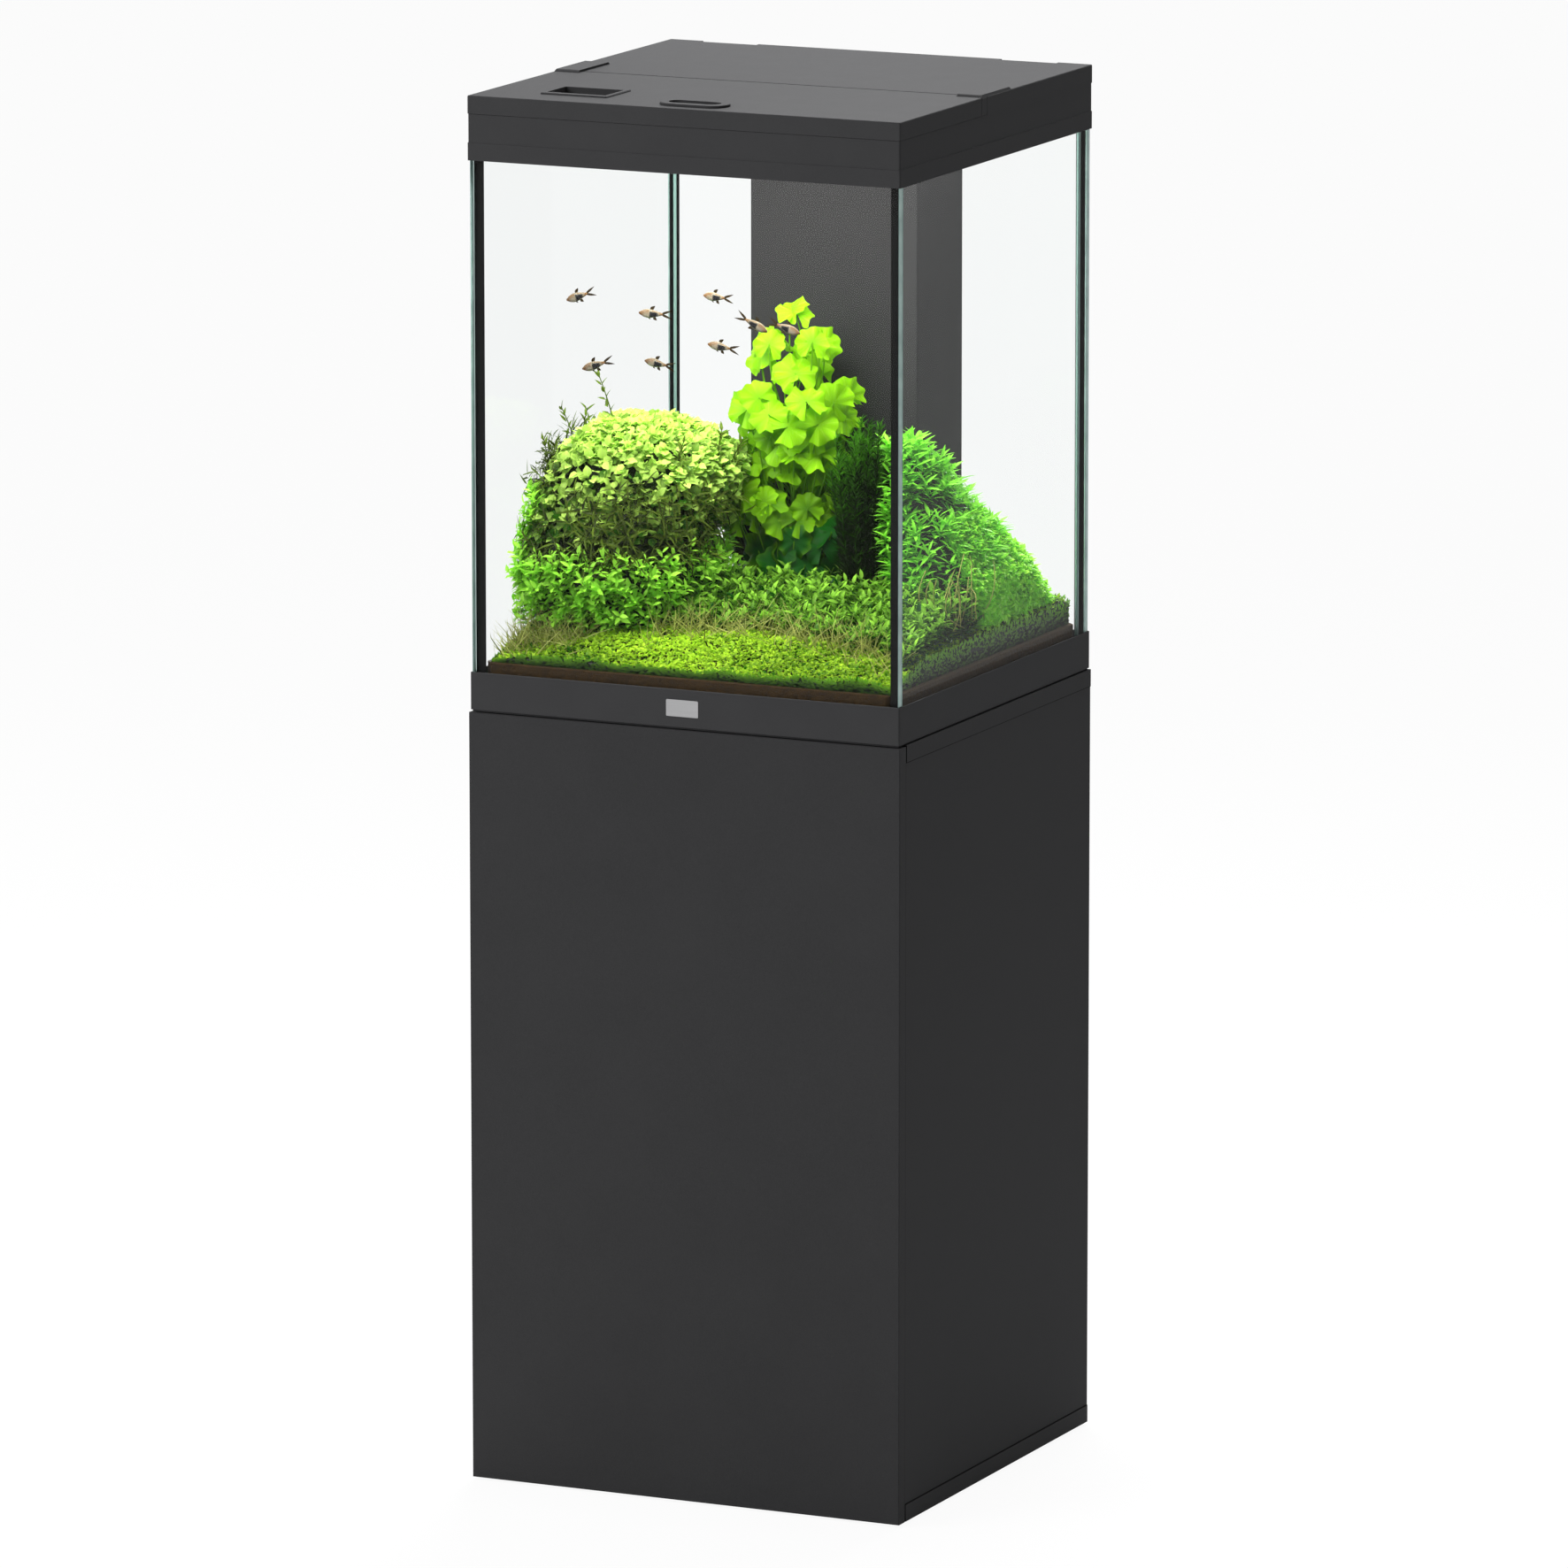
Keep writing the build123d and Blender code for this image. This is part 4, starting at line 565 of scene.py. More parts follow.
carpet_green = leafy("carpet_leaf", tint(48, 116, 6), tint(206, 246, 60), tint(220, 248, 100))
# Painted shade: a darker carpet green for the leaves on the carpet's shaded sides against the panes.
painted_shade_green = leafy("carpet_shade", tint(12, 40, 4), tint(120, 186, 26), tint(130, 190, 40))
clover_green = leafy("round_leaf", tint(44, 96, 12), tint(206, 244, 112), tint(226, 248, 160))
oval_green = leafy("oval_leaf", tint(10, 70, 4), tint(176, 244, 76), tint(196, 246, 116))
willow_brown = leafy("willow_leaf", tint(20, 26, 6), tint(96, 122, 30), tint(112, 92, 36))
lance_green = leafy("lance_leaf", tint(36, 120, 14), tint(150, 238, 66), tint(176, 242, 110))
# Partly the hillside plant's own pale green and partly painted light: even its dark end is kept pale, so the
# slope at the back right looks lit.
hill_green = leafy("hillside_leaf", tint(108, 194, 38), tint(184, 250, 82), tint(192, 250, 108), 1.0, 0.45)
wavy_green = leafy("wavy_leaf", tint(6, 76, 2), tint(138, 202, 16), tint(186, 226, 70), 11.0, 0.4)
fern_green = leafy("fern_needle", tint(3, 20, 0), tint(70, 138, 20), tint(80, 144, 26))
straw_green = leafy("straw_blade", tint(110, 118, 44), tint(206, 210, 120), tint(206, 208, 124))
stem_green = leafy("leaf_stalk", tint(70, 130, 14), tint(140, 196, 40), tint(140, 196, 40))
# Painted shade: a near-black green for the carpet's cushion and the bushes' cores, standing in for the shade
# deep in dense growth.
painted_shade_undergrowth = leafy("painted_shade_undergrowth", tint(6, 16, 3), tint(22, 44, 10), tint(20, 40, 10))
print("leaf finishes ready, with", len(marks.nodes), "nodes in the vein group")

# %% [markdown]
# ## Soil
# Baked granules of about 3 mm are pressed against the panes. Loose balls would be tens of thousands of
# faces that are never seen. Instead one wall runs round the bed, and each point is pushed out by the
# nearest ball of a jittered grid, so the granules show as real bumps.

# %% Granules
granule, bulge = 0.003, 0.0019


def granules(run, height):
    """Ball bumps over a wall: the height of the nearest ball of a jittered grid, and that ball's own tone."""
    cell = np.stack([run, height], -1) / granule
    home = np.floor(cell)
    best = np.full(run.shape, 9.0)
    tone = np.zeros(run.shape)
    for step in [(i, j) for i in (-1, 0, 1) for j in (-1, 0, 1)]:
        ball = home + step
        draw = np.sin(ball @ np.array([[127.1, 269.5], [311.7, 183.3]])) * 43758.5453
        jitter = draw - np.floor(draw)
        far = np.linalg.norm(cell - ball - 0.15 - 0.7 * jitter, axis=-1)
        tone = np.where(far < best, jitter[..., 0], tone)
        best = np.minimum(best, far)
    return np.sqrt(np.clip(1 - (best / 0.95) ** 2, 0, 1)), tone


soil_brown, tree = new_material("baked_soil")
texture = grain_in(tree, 900)
tone = node(tree, "Attribute", attribute_name="tone")["Fac"]
mixed_tone = node(tree, "Mix", {0: 0.4, 2: tone, 3: texture["Tone"]})[0]
show(tree, node(tree, "BsdfPrincipled", {
    "Base Color": blend(tree, mixed_tone, tint(24, 17, 7), tint(66, 48, 22)), "Roughness": 0.85,
    "Normal": raised(tree, texture["Height"], 0.5), "Specular IOR Level": 0.2})[0])
print("granules of", granule, "m")

# %% The soil bed
soil_low, soil_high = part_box("soil_bed")
column_low, column_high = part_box("filter_housing")
bed = soil_high.x - 0.0022
notch, gap, pitch = 0.009, 0.0012, 0.0011
slot_left, slot_right, slot_front = column_low.x - gap, column_high.x + gap, column_low.y - gap
outline = np.array([
    (-bed + notch, -bed), (bed - notch, -bed), (bed, -bed + notch), (bed, bed - notch), (bed - notch, bed),
    (slot_right, bed), (slot_right, slot_front), (slot_left, slot_front), (slot_left, bed),
    (-bed + notch, bed), (-bed, bed - notch), (-bed, -bed + notch)])
ends = np.roll(outline, -1, axis=0)
lengths = np.linalg.norm(ends - outline, axis=1)
reach = np.concatenate([[0], np.cumsum(lengths)])
run = np.arange(0, reach[-1], pitch)
leg = np.searchsorted(reach, run, side="right") - 1
way = ((run - reach[leg]) / lengths[leg])[:, None]
wall = outline[leg] * (1 - way) + ends[leg] * way
heading = unit(ends - outline)[leg]
outward = np.stack([heading[:, 1], -heading[:, 0]], -1)
heights = np.arange(soil_low.z + 0.0004, soil_high.z, pitch)
bump, granule_tone = granules(*np.broadcast_arrays(run[None, :], heights[:, None]))
push = wall[None] + outward[None] * (bump * bulge)[..., None]
points = np.concatenate([push, np.broadcast_to(heights[:, None, None], (*bump.shape, 1))], -1)
soil = make_piece("soil_granules", points, grid_quads(*bump.shape, closed=True), soil_brown,
                  tone=granule_tone.ravel(), caps=end_caps(*bump.shape))
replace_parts(soil, "soil_bed")
print("soil wall of", bump.shape, "points")

# %% [markdown]
# ## Carpet
# The foreground plant grows as a dense cushion of tiny leaves that is low at the front pane and climbs
# to a terrace. A cushion, dark with painted shade, carries it, so no gap shows, and the leaves stand on
# that. Against the panes one looks into its shaded side, so a second row of leaves, darker with painted
# shade, hangs there.

# %% The cushion under the carpet
carpet_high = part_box("plant_carpet")[1]
carpet_half, terrace = carpet_high.x, carpet_high.z
front_rise, brow, lump = 0.010, -0.150, 0.003
edge_start, edge_width, edge_drop = 0.19, 0.05, 0.008
rooting = 0.004


def carpet_height(x, y):
    """Carpet height: front_rise above the soil at the front pane, then a straight slope to the terrace.
    It drops by a square rule near the side panes and has soft lumps."""
    climb = np.clip((y + carpet_half) / (brow + carpet_half), 0, 1)
    flat = np.stack([x, y, np.zeros_like(x)], -1)
    fall = np.clip((np.abs(x) - edge_start) / edge_width, 0, 1) ** 2 * edge_drop
    slope = (terrace - soil_high.z - front_rise) * climb
    return soil_high.z + front_rise + slope - fall + lump * waves(flat, 38)


def rooted(x, y):
    """Points on the cushion, a little below the carpet's height."""
    return np.stack([x, y, carpet_height(x, y) - rooting], -1)


def cushion(name, x_ends, y_ends, pitch=0.006):
    """A closed cushion over a rectangle of the bed, dark with painted shade."""
    xs = np.linspace(*x_ends, int((x_ends[1] - x_ends[0]) / pitch))
    ys = np.linspace(*y_ends, int((y_ends[1] - y_ends[0]) / pitch))
    points, quads, under = draped(xs, ys, lambda x, y: carpet_height(x, y) - rooting, soil_high.z - 0.0006)
    tone = np.clip(0.5 + 0.4 * waves(points, 90, 5), 0, 1)
    return make_piece(name, points, quads, painted_shade_undergrowth, points[..., :2].reshape(-1, 2), tone.ravel(),
                      caps=[under.tolist()])


edge, leaf_edge = carpet_half - 0.002, carpet_half - 0.003
beside = 0.003
behind_y = column_low.y - beside
ground = cushion("carpet_cushion_front", (-edge, edge), (-edge, behind_y))
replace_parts(ground, "plant_carpet")
cushion("carpet_cushion_left", (-edge, column_low.x - beside), (behind_y, edge))
cushion("carpet_cushion_right", (column_high.x + beside, edge), (behind_y, edge))
print("cushion climbs to", terrace)

# %% Tiny leaves on the cushion
pane_gap, pane_stray = 0.0003, 0.0014


def in_column(x, y, edge=0.004):
    """True where the filter column stands."""
    return (x > column_low.x - edge) & (x < column_high.x + edge) & (y > column_low.y - edge)


def plant_leaves(name, spots, headings, facing, lengths, ratio, outline, material, tones,
                 bend=(0.2, 0.3, 4, 3)):
    """Leaves of one kind as one piece. A leaf that reaches a pane lies flat against it. bend holds droop and
    fold, then the rows and columns of a leaf's grid."""
    points, quads, uv = leaf_cloud(spots, headings, facing, lengths, lengths * ratio, outline, *bend)
    limit = carpet_half - pane_gap - pane_stray * rng.uniform(0, 1, (len(points), 1, 1))
    points[..., :2] = np.clip(points[..., :2], -limit, limit)
    return make_piece(name, points, quads, material, uv, spread_tone(tones, uv))


def tiny_leaves(name, count, x_ends, y_ends, size):
    """Leaves over the cushion: random spots, headings mostly up, sizes and tones drawn at random."""
    x, y = rng.uniform(*x_ends, count), rng.uniform(*y_ends, count)
    keep = ~in_column(x, y)
    spots = rooted(x[keep], y[keep])
    headings = rng.normal(0, 0.7, spots.shape) * (1, 1, 0) + (0, -0.15, 0.5)
    facing = rng.normal(0, 0.4, spots.shape) * (1, 1, 0) + (0, -0.35, 1)
    tones = 0.55 + 0.25 * waves(spots, 26, 9) + rng.normal(0, 0.25, len(spots))
    lengths = rng.uniform(*size, len(spots))
    plant_leaves(name, spots, headings, facing, lengths, 0.6, oval, carpet_green, tones,
                 (0.25, 0.3, 3, 3))


whole, middle_y = (-leaf_edge, leaf_edge), -0.06
tiny_leaves("carpet_leaves_front", 17000, whole, (-leaf_edge, middle_y), (0.0045, 0.0075))
tiny_leaves("carpet_leaves_back", 8000, whole, (middle_y, leaf_edge), (0.005, 0.0085))
print("carpet planted")

# %% Leaves against the panes, darker with painted shade
side_total = 6400
side_run = rng.uniform(*whole, side_total)
side_face = np.arange(side_total) % 4
normals = np.array([(0, -1, 0), (1, 0, 0), (0, 1, 0), (-1, 0, 0)])[side_face]
tangents = np.array([(1, 0, 0), (0, 1, 0), (-1, 0, 0), (0, -1, 0)])[side_face]
spots = normals * carpet_half + tangents * side_run[:, None]
up_share = rng.uniform(0, 1, side_total)
spots[:, 2] = soil_high.z - 0.002 + up_share * (carpet_height(spots[:, 0], spots[:, 1]) - soil_high.z)
keep = ~in_column(spots[:, 0], spots[:, 1])
upward = np.stack([0 * up_share, 0 * up_share, up_share - 0.35], -1)
headings = tangents * rng.normal(0, 0.6, (side_total, 1)) + normals * 0.25 + upward
lengths = rng.uniform(0.004, 0.0065, keep.sum())
# Painted light and shade: tone rises from dark at the soil to light at the carpet's top, and the rows on the
# left and right panes are lighter (lit_sides).
lit_sides = 0.5 * up_share * (side_face % 2)
tones = 0.02 + 0.8 * up_share**2 + lit_sides + rng.normal(0, 0.05, side_total)
plant_leaves("carpet_leaves_side", spots[keep], headings[keep], (normals + (0, 0, 0.5))[keep], lengths, 0.5,
             oval, painted_shade_green, tones[keep], (0.2, 0.3, 3, 3))
print(keep.sum(), "leaves against the panes")

# %% [markdown]
# ## Bushes
# A trimmed bush is a mound. Rings at several levels, each with a centre and two half-widths, give its
# skin, and a shoot starts anywhere on that skin. The left bush has three kinds of growth: pale round leaves
# on top, thin brownish willow leaves in the shade of the middle and at its left shoulder, and oval leaves in
# pairs at the foot. Its crown falls off to the right. The right bush carries whorls of lance-shaped leaves
# and falls off to the back corner, where small leaves cover it as a hillside.

# %% Mounds
# A ring is its level, the x and y of its middle, and its half-widths in x and y.
left_rings = np.array([
    (0.925, -0.150, -0.080, 0.088, 0.094), (0.985, -0.152, -0.086, 0.089, 0.104),
    (1.030, -0.150, -0.076, 0.089, 0.092), (1.070, -0.147, -0.056, 0.091, 0.088),
    (1.100, -0.142, -0.044, 0.091, 0.082), (1.122, -0.138, -0.036, 0.086, 0.070),
    (1.136, -0.142, -0.030, 0.070, 0.052), (1.144, -0.152, -0.028, 0.038, 0.030)])
right_rings = np.array([
    (0.936, 0.176, 0.104, 0.060, 0.130), (0.985, 0.172, 0.078, 0.058, 0.106),
    (1.030, 0.158, 0.058, 0.048, 0.080), (1.070, 0.144, 0.046, 0.036, 0.056),
    (1.105, 0.136, 0.032, 0.026, 0.038), (1.128, 0.130, 0.024, 0.008, 0.012)])
# Each bush has rings, a slant in plan and a sag: how far its crown falls off to its sides.
left_bush, right_bush = (left_rings, 0.3, 0.022), (right_rings, 0.0, 0.0)
sag_level, sag_height, sag_reach, sag_tilt = 1.05, 0.09, 0.09, 0.35
lean_step, core_share = 0.006, 0.86


def squared(t, power=0.6):
    """Signed power of a sine or cosine, which makes a circle a square with round corners."""
    return np.sign(t) * np.abs(t) ** power


def even_angles(count, ends=(0, 2 * np.pi)):
    """Random angles that lie evenly along the squared outline: its length is summed up and read backwards."""
    fine = np.linspace(*ends, 2001)
    outline = np.stack([squared(np.cos(fine)), squared(np.sin(fine))])
    run = np.concatenate([[0], np.cumsum(np.hypot(*np.diff(outline)))])
    return np.interp(rng.uniform(0, run[-1], count), run, fine)


def on_mound(bush, level, angle, share):
    """Point and outward direction on the skin of a mound, a share of the way out from its middle.
    Slanted in plan, it comes further to the front the nearer it is to the left pane. Above the sagging
    level it falls with the distance d from its middle by d (d + sag_tilt), so more to the right than
    to the left."""
    rings, slant, sag = bush
    x, y, half_x, half_y = (np.interp(level, rings[:, 0], rings[:, k]) for k in (1, 2, 3, 4))
    lean = (half_x - np.interp(level + lean_step, rings[:, 0], rings[:, 3])) / lean_step
    plan_x, plan_y = squared(np.cos(angle)), squared(np.sin(angle))
    reach = share * half_x * plan_x
    far = reach / sag_reach
    fall = sag * np.clip((level - sag_level) / sag_height, 0, 1) * far * (far + sag_tilt)
    points = np.stack([x + reach, y + share * half_y * plan_y + slant * reach, level - fall], -1)
    return points, unit(np.stack([np.cos(angle), np.sin(angle), np.clip(lean, -0.2, 4)], -1))


def skin_spots(bush, count, levels, share, ends=(0, 2 * np.pi)):
    """Random places on a mound between two levels and two angles, with their outward directions."""
    level = rng.uniform(*levels, count)
    return on_mound(bush, level, even_angles(count, ends), rng.uniform(*share, count))


def core(name, bush, node_name):
    """The inside of a bush, dark with painted shade: a narrower mound with lumps, closed by a face at each
    end.
    """
    levels = bush[0][:, 0]
    level, angle = grid(np.linspace(levels[0], levels[-1] - 0.008, 24), around(48))
    points, out = on_mound(bush, level, angle, core_share)
    points = points + out * (0.004 * waves(points, 70))[..., None]
    tone = np.clip(0.4 + 0.4 * waves(points, 120, 8).ravel(), 0, 1)
    piece = make_piece(name, points, grid_quads(*level.shape, closed=True), painted_shade_undergrowth,
                       points.reshape(-1, 3)[:, :2] * 40, tone, caps=end_caps(*level.shape))
    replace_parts(piece, node_name)


core("bush_left_core", left_bush, "bush_left")
core("bush_right_core", right_bush, "bush_right")
print("left bush is", left_rings[-1, 0] - left_rings[0, 0], "m tall")

# %% Round leaves on top of the left bush
top_total, top_level = 700, 1.143
spots, out = skin_spots(left_bush, 2300, (1.03, 1.118), (0.9, 1.0))
crown, crown_out = skin_spots(left_bush, 2600, (1.112, 1.144), (0.84, 1.0))
top_angle = rng.uniform(*any_angle, top_total)
top_share = np.sqrt(rng.uniform(0, 1, top_total))
top = on_mound(left_bush, np.full(top_total, top_level), top_angle, top_share)[0]
spots = np.concatenate([spots, crown, top])
out = np.concatenate([out, crown_out, np.tile((0.0, -0.1, 1.0), (top_total, 1))])
headings = rng.normal(0, 0.7, spots.shape) + out * 0.4
# Painted light and shade: the tone rises with height, so leaves are darker low on the dome and lighter on its
# crown.
tones = np.interp(spots[:, 2], (1.03, 1.075, 1.12, 1.146), (0.1, 0.45, 0.75, 0.9))
tones = tones + rng.normal(0, 0.32, len(spots))
facing = out * 0.6 + (0, -0.25, 0.8) + rng.normal(0, 0.3, spots.shape)
lengths = rng.uniform(0.008, 0.013, len(spots))
plant_leaves("bush_left_round_leaves", spots, headings, facing, lengths, 0.85, oval, clover_green, tones)
print(len(spots), "round leaves")

# %% Willow leaves and oval leaves of the left bush
left_side, front_side = (2.5, 3.9), (3.9, 6.4)
middle = skin_spots(left_bush, 140, (1.0, 1.07), (0.84, 0.93), front_side)
shoulder = on_mound(left_bush, rng.uniform(1.08, 1.12, 60), even_angles(60, left_side), 0.95)
feet, out = (np.concatenate(pair) for pair in zip(middle, shoulder))
ways = out * 0.8 + (0, 0, 0.7) + rng.normal(0, 0.4, out.shape)
tall = rng.uniform(0.016, 0.034, len(feet))
spots, headings, facing, step = shoots(feet, ways, tall, 8, 0.7)
lengths = rng.uniform(0.012, 0.024, len(spots))
tones = 0.1 + 0.5 * step**2 + rng.normal(0, 0.2, len(spots))
plant_leaves("bush_left_willow_leaves", spots, headings, facing, lengths, 0.13, lance, willow_brown, tones,
             (0.5, 0.3, 4, 3))

low_part = skin_spots(left_bush, 780, (0.930, 1.004), (0.86, 0.98))
flank = on_mound(left_bush, rng.uniform(1.0, 1.07, 240), even_angles(240, left_side), 0.95)
feet, out = (np.concatenate(pair) for pair in zip(low_part, flank))
ways = out * 0.6 + (0, 0, 0.9) + rng.normal(0, 0.25, out.shape)
tall = rng.uniform(0.014, 0.026, len(feet))
spots, headings, facing, step = shoots(feet, ways, tall, 8, 0.8)
lengths = rng.uniform(0.008, 0.014, len(spots))
tones = 0.2 + 1.0 * step + rng.normal(0, 0.24, len(spots))
plant_leaves("bush_left_oval_leaves", spots, headings, facing, lengths, 0.42, oval, oval_green, tones)
print("left bush planted")

# %% The right bush
# Shoots stand right of the ferns and in front of the hillside, and start higher the further back they are.
feet, out = skin_spots(right_bush, 520, (0.95, 1.126), (0.74, 0.9))
feet = feet - (0, 0, 0.014)
x, y, z = feet.T
keep = (x > 0.122) & (y < 0.11) & (z > 0.95 + 0.4 * np.clip(y, 0, 1))
feet, out = feet[keep], out[keep]
ways = out * 0.35 + (0, 0, 1) + rng.normal(0, 0.15, out.shape)
tall = rng.uniform(0.016, 0.028, len(feet))
spots, headings, facing, step = shoots(feet, ways, tall, 12, 0.9, 3)
lengths = rng.uniform(0.013, 0.021, len(spots))
tones = 0.15 + 0.75 * step + rng.normal(0, 0.15, len(spots))
plant_leaves("bush_right_lance_leaves", spots, headings, facing, lengths, 0.24, lance, lance_green, tones)

spots, out = skin_spots(right_bush, 10000, (0.936, 1.05), (0.9, 1.03), (-0.6, 2.2))
inside_tank = np.abs(spots[:, :2]).max(1) < leaf_edge
spots, out = spots[inside_tank], out[inside_tank]
headings = out * 0.5 + rng.normal(0, 0.7, out.shape)
lengths = rng.uniform(0.006, 0.0105, len(spots))
tones = 0.6 + 0.25 * waves(spots, 40, 6) + rng.normal(0, 0.25, len(spots))
plant_leaves("hillside_leaves", spots, headings, out * 0.5 + (0, 0, 0.9), lengths, 0.7, oval, hill_green,
             tones, (0.2, 0.3, 3, 3))
print("right bush planted")

# %% [markdown]
# ## Low hedge and grass
# The oval-leaved plant also runs across in front of the tall plants as a low hedge that comes forward at the
# right, and straw-coloured grass stands between it and the carpet. Both follow one front line across the
# tank, which is read from a few points.


# %% Low hedge and grass
def hedge_front(x):
    """Y of the hedge's front line, straight between a few points across the tank."""
    return np.interp(x, (-0.24, -0.15, -0.06, 0.02, 0.12, 0.24),
                     (-0.205, -0.190, -0.15, -0.122, -0.150, -0.195))


hedge_total = 1000
x = rng.uniform(-0.10, 0.234, hedge_total)
back = rng.uniform(0, 1, hedge_total)
feet = rooted(x, hedge_front(x) + 0.012 + back * (-0.005 - hedge_front(x)))
tall = np.interp(back, (0, 0.35, 0.8, 1), (0.014, 0.034, 0.050, 0.044)) * rng.uniform(0.7, 1.15, hedge_total)
ways = rng.normal(0, 0.25, feet.shape) + (0, -0.1, 1)
spots, headings, facing, step = shoots(feet, ways, tall, 10, 0.8)
keep = np.abs(spots[:, 0]) < leaf_edge - 0.003
lengths = rng.uniform(0.008, 0.0145, keep.sum())
tones = -0.22 + 0.62 * step + rng.normal(0, 0.2, len(spots))
plant_leaves("hedge_oval_leaves", spots[keep], headings[keep], facing[keep], lengths, 0.4, oval, oval_green,
             tones[keep])

blade_width = 0.0017
x = np.concatenate([rng.uniform(-0.08, 0.22, 520), rng.uniform(-0.232, -0.15, 280)])
total = len(x)
spots = rooted(x, hedge_front(x) + rng.normal(0.002, 0.015, total))
headings = np.stack([rng.normal(0, 0.8, total), rng.normal(-0.2, 0.5, total), np.ones(total)], -1)
lengths = rng.uniform(0.018, 0.044, total)
facing = rng.normal(0, 1, (total, 3)) * (1, 1, 0.2) + (0, -0.6, 0)
tones = 0.5 + rng.normal(0, 0.25, total)
plant_leaves("straw_grass", spots, headings, facing, lengths, blade_width / lengths, blade, straw_green,
             tones, (0.45, 0.2, 6, 2))
print(hedge_total, "hedge shoots and", total, "blades of grass")

# %% [markdown]
# ## Wavy-leaved plant
# Its round leaves have a notch at the stalk, a wavy rim and veins that spread like a fan. A leaf is therefore
# a polar grid: radius and angle. The leaves stand in tiers round an upright stem, turned to the light and
# outward, each by the golden angle from the last and each on its own thin stalk.


# %% Tubes along paths
def tubes(paths, radii, sides):
    """Round stems: a circle carried along each path, square to its direction."""
    step = unit(np.gradient(paths, axis=1))
    side = unit(np.cross(step, np.array((0.3, 0.9, 0.2))))
    other = np.cross(step, side)
    angle = around(sides)[:, None]
    ring = np.cos(angle) * side[:, :, None] + np.sin(angle) * other[:, :, None]
    points = paths[:, :, None] + radii[..., None, None] * ring
    return points, grid_quads(paths.shape[1], sides, len(paths), closed=True)


def stem_piece(name, paths, radii, material, tone, sides=6):
    """Stems as one piece with an even tone."""
    points, quads = tubes(paths, radii, sides)
    total = points.size // 3
    make_piece(name, points, quads, material, np.zeros((total, 2)), np.full(total, tone))


def between(foot, tip, share):
    """Points that lie a share of the way from each foot to its tip."""
    return foot[:, None] * (1 - share) + tip[:, None] * share


golden_angle = np.radians(137.5)
print("golden angle", golden_angle)

# %% The wavy leaves
# A tier is its level, middle x, half-width, number of leaves and tone, and how far its leaves stray in level.
# The tier tones are painted light and shade: high tiers lighter, low tiers darker.
tiers = np.array([
    (1.262, -0.010, 0.003, 2, 1.0, 0.003), (1.214, -0.010, 0.036, 12, 1.0, 0.020),
    (1.158, -0.008, 0.062, 21, 0.85, 0.020), (1.124, -0.008, 0.050, 18, 0.75, 0.016),
    (1.092, -0.018, 0.036, 16, 0.75, 0.014), (1.046, -0.020, 0.056, 24, 0.5, 0.022),
    (1.008, 0.002, 0.056, 20, -0.05, 0.020), (0.970, -0.004, 0.060, 20, -0.2, 0.018)])
stem_x, stem_y = -0.008, 0.048
level, middle_x, half_width, _, tier_tone, stray = np.repeat(tiers, tiers[:, 3].astype(int), axis=0).T
leaf_total = len(level)
angle = golden_angle * np.arange(leaf_total)
outward = np.stack([np.cos(angle), np.sin(angle), np.zeros(leaf_total)], -1)
hub = np.stack([middle_x + half_width * np.cos(angle), stem_y + 0.8 * half_width * np.sin(angle),
                level + rng.uniform(-1, 1, leaf_total) * stray], -1)
leaf_size = rng.uniform(0.016, 0.024, leaf_total)
upturn = np.interp(level, (0.97, 1.06, 1.20, 1.25), (0.25, 0.4, 0.6, 1.0))[:, None] * (0, 0, 1)
normal = unit(outward * 0.55 + (0.2, -0.5, 0) + upturn + rng.normal(0, 0.3, (leaf_total, 3)))
upward = unit(np.array((0, 0, 1)) - normal * normal[:, 2:])
roll = rng.uniform(-1.1, 1.1, (leaf_total, 1))
heading = np.cos(roll) * upward + np.sin(roll) * np.cross(normal, upward)
side = np.cross(normal, heading)
rings, spokes, half_open = 7, 55, 158
polar = grid(np.linspace(0.04, 1, rings), np.radians(np.linspace(-half_open, half_open, spokes)))
radius, turn_angle = (values.ravel() for values in polar)
wobble = rng.uniform(*any_angle, (leaf_total, 1))
edge_share = 1 + 0.06 * np.sin(8 * turn_angle + wobble) + 0.03 * np.sin(13 * turn_angle + 3 * wobble)
flat = leaf_size[:, None] * radius * edge_share
ripple = 0.16 * np.sin(4 * turn_angle + wobble) + 0.09 * np.sin(8 * turn_angle + 2 * wobble)
lift = leaf_size[:, None] * (radius**3 * ripple - 0.12 * radius**2)
points = (hub[:, None] + (flat * np.cos(turn_angle))[..., None] * heading[:, None]
          + (flat * np.sin(turn_angle))[..., None] * side[:, None] + lift[..., None] * normal[:, None])
uv = np.tile(np.stack([radius, turn_angle / (2 * np.pi) + 0.5], -1), (leaf_total, 1))
tones = tier_tone + rng.normal(0, 0.16, leaf_total)
wavy = make_piece("wavy_leaves", points, grid_quads(rings, spokes, leaf_total), wavy_green, uv,
                  spread_tone(tones, uv, 0.6))
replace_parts(wavy, "broadleaf_plant")
print(leaf_total, "wavy leaves")

# %% Their stalks
stalk_points, stalk_drop, stalk_bow = 7, 0.10, 0.010
stalk_radius, stem_radius = 0.0008, 0.0022
along = np.linspace(0, 1, stalk_points)[None, :, None]
foot = np.stack([np.full(leaf_total, stem_x), np.full(leaf_total, stem_y),
                 np.maximum(hub[:, 2] - stalk_drop, 0.938)], -1)
paths = between(foot, hub, along) + outward[:, None] * stalk_bow * np.sin(np.pi * along)
trunk = np.stack([np.full(stalk_points, stem_x), np.full(stalk_points, stem_y),
                  np.linspace(0.937, 1.16, stalk_points)], -1)
radii = np.full((leaf_total + 1, stalk_points), stalk_radius)
radii[-1] = stem_radius
stem_piece("wavy_leaf_stalks", np.concatenate([paths, trunk[None]]), radii, stem_green, 0.4)
print(len(radii), "stalks and stem")

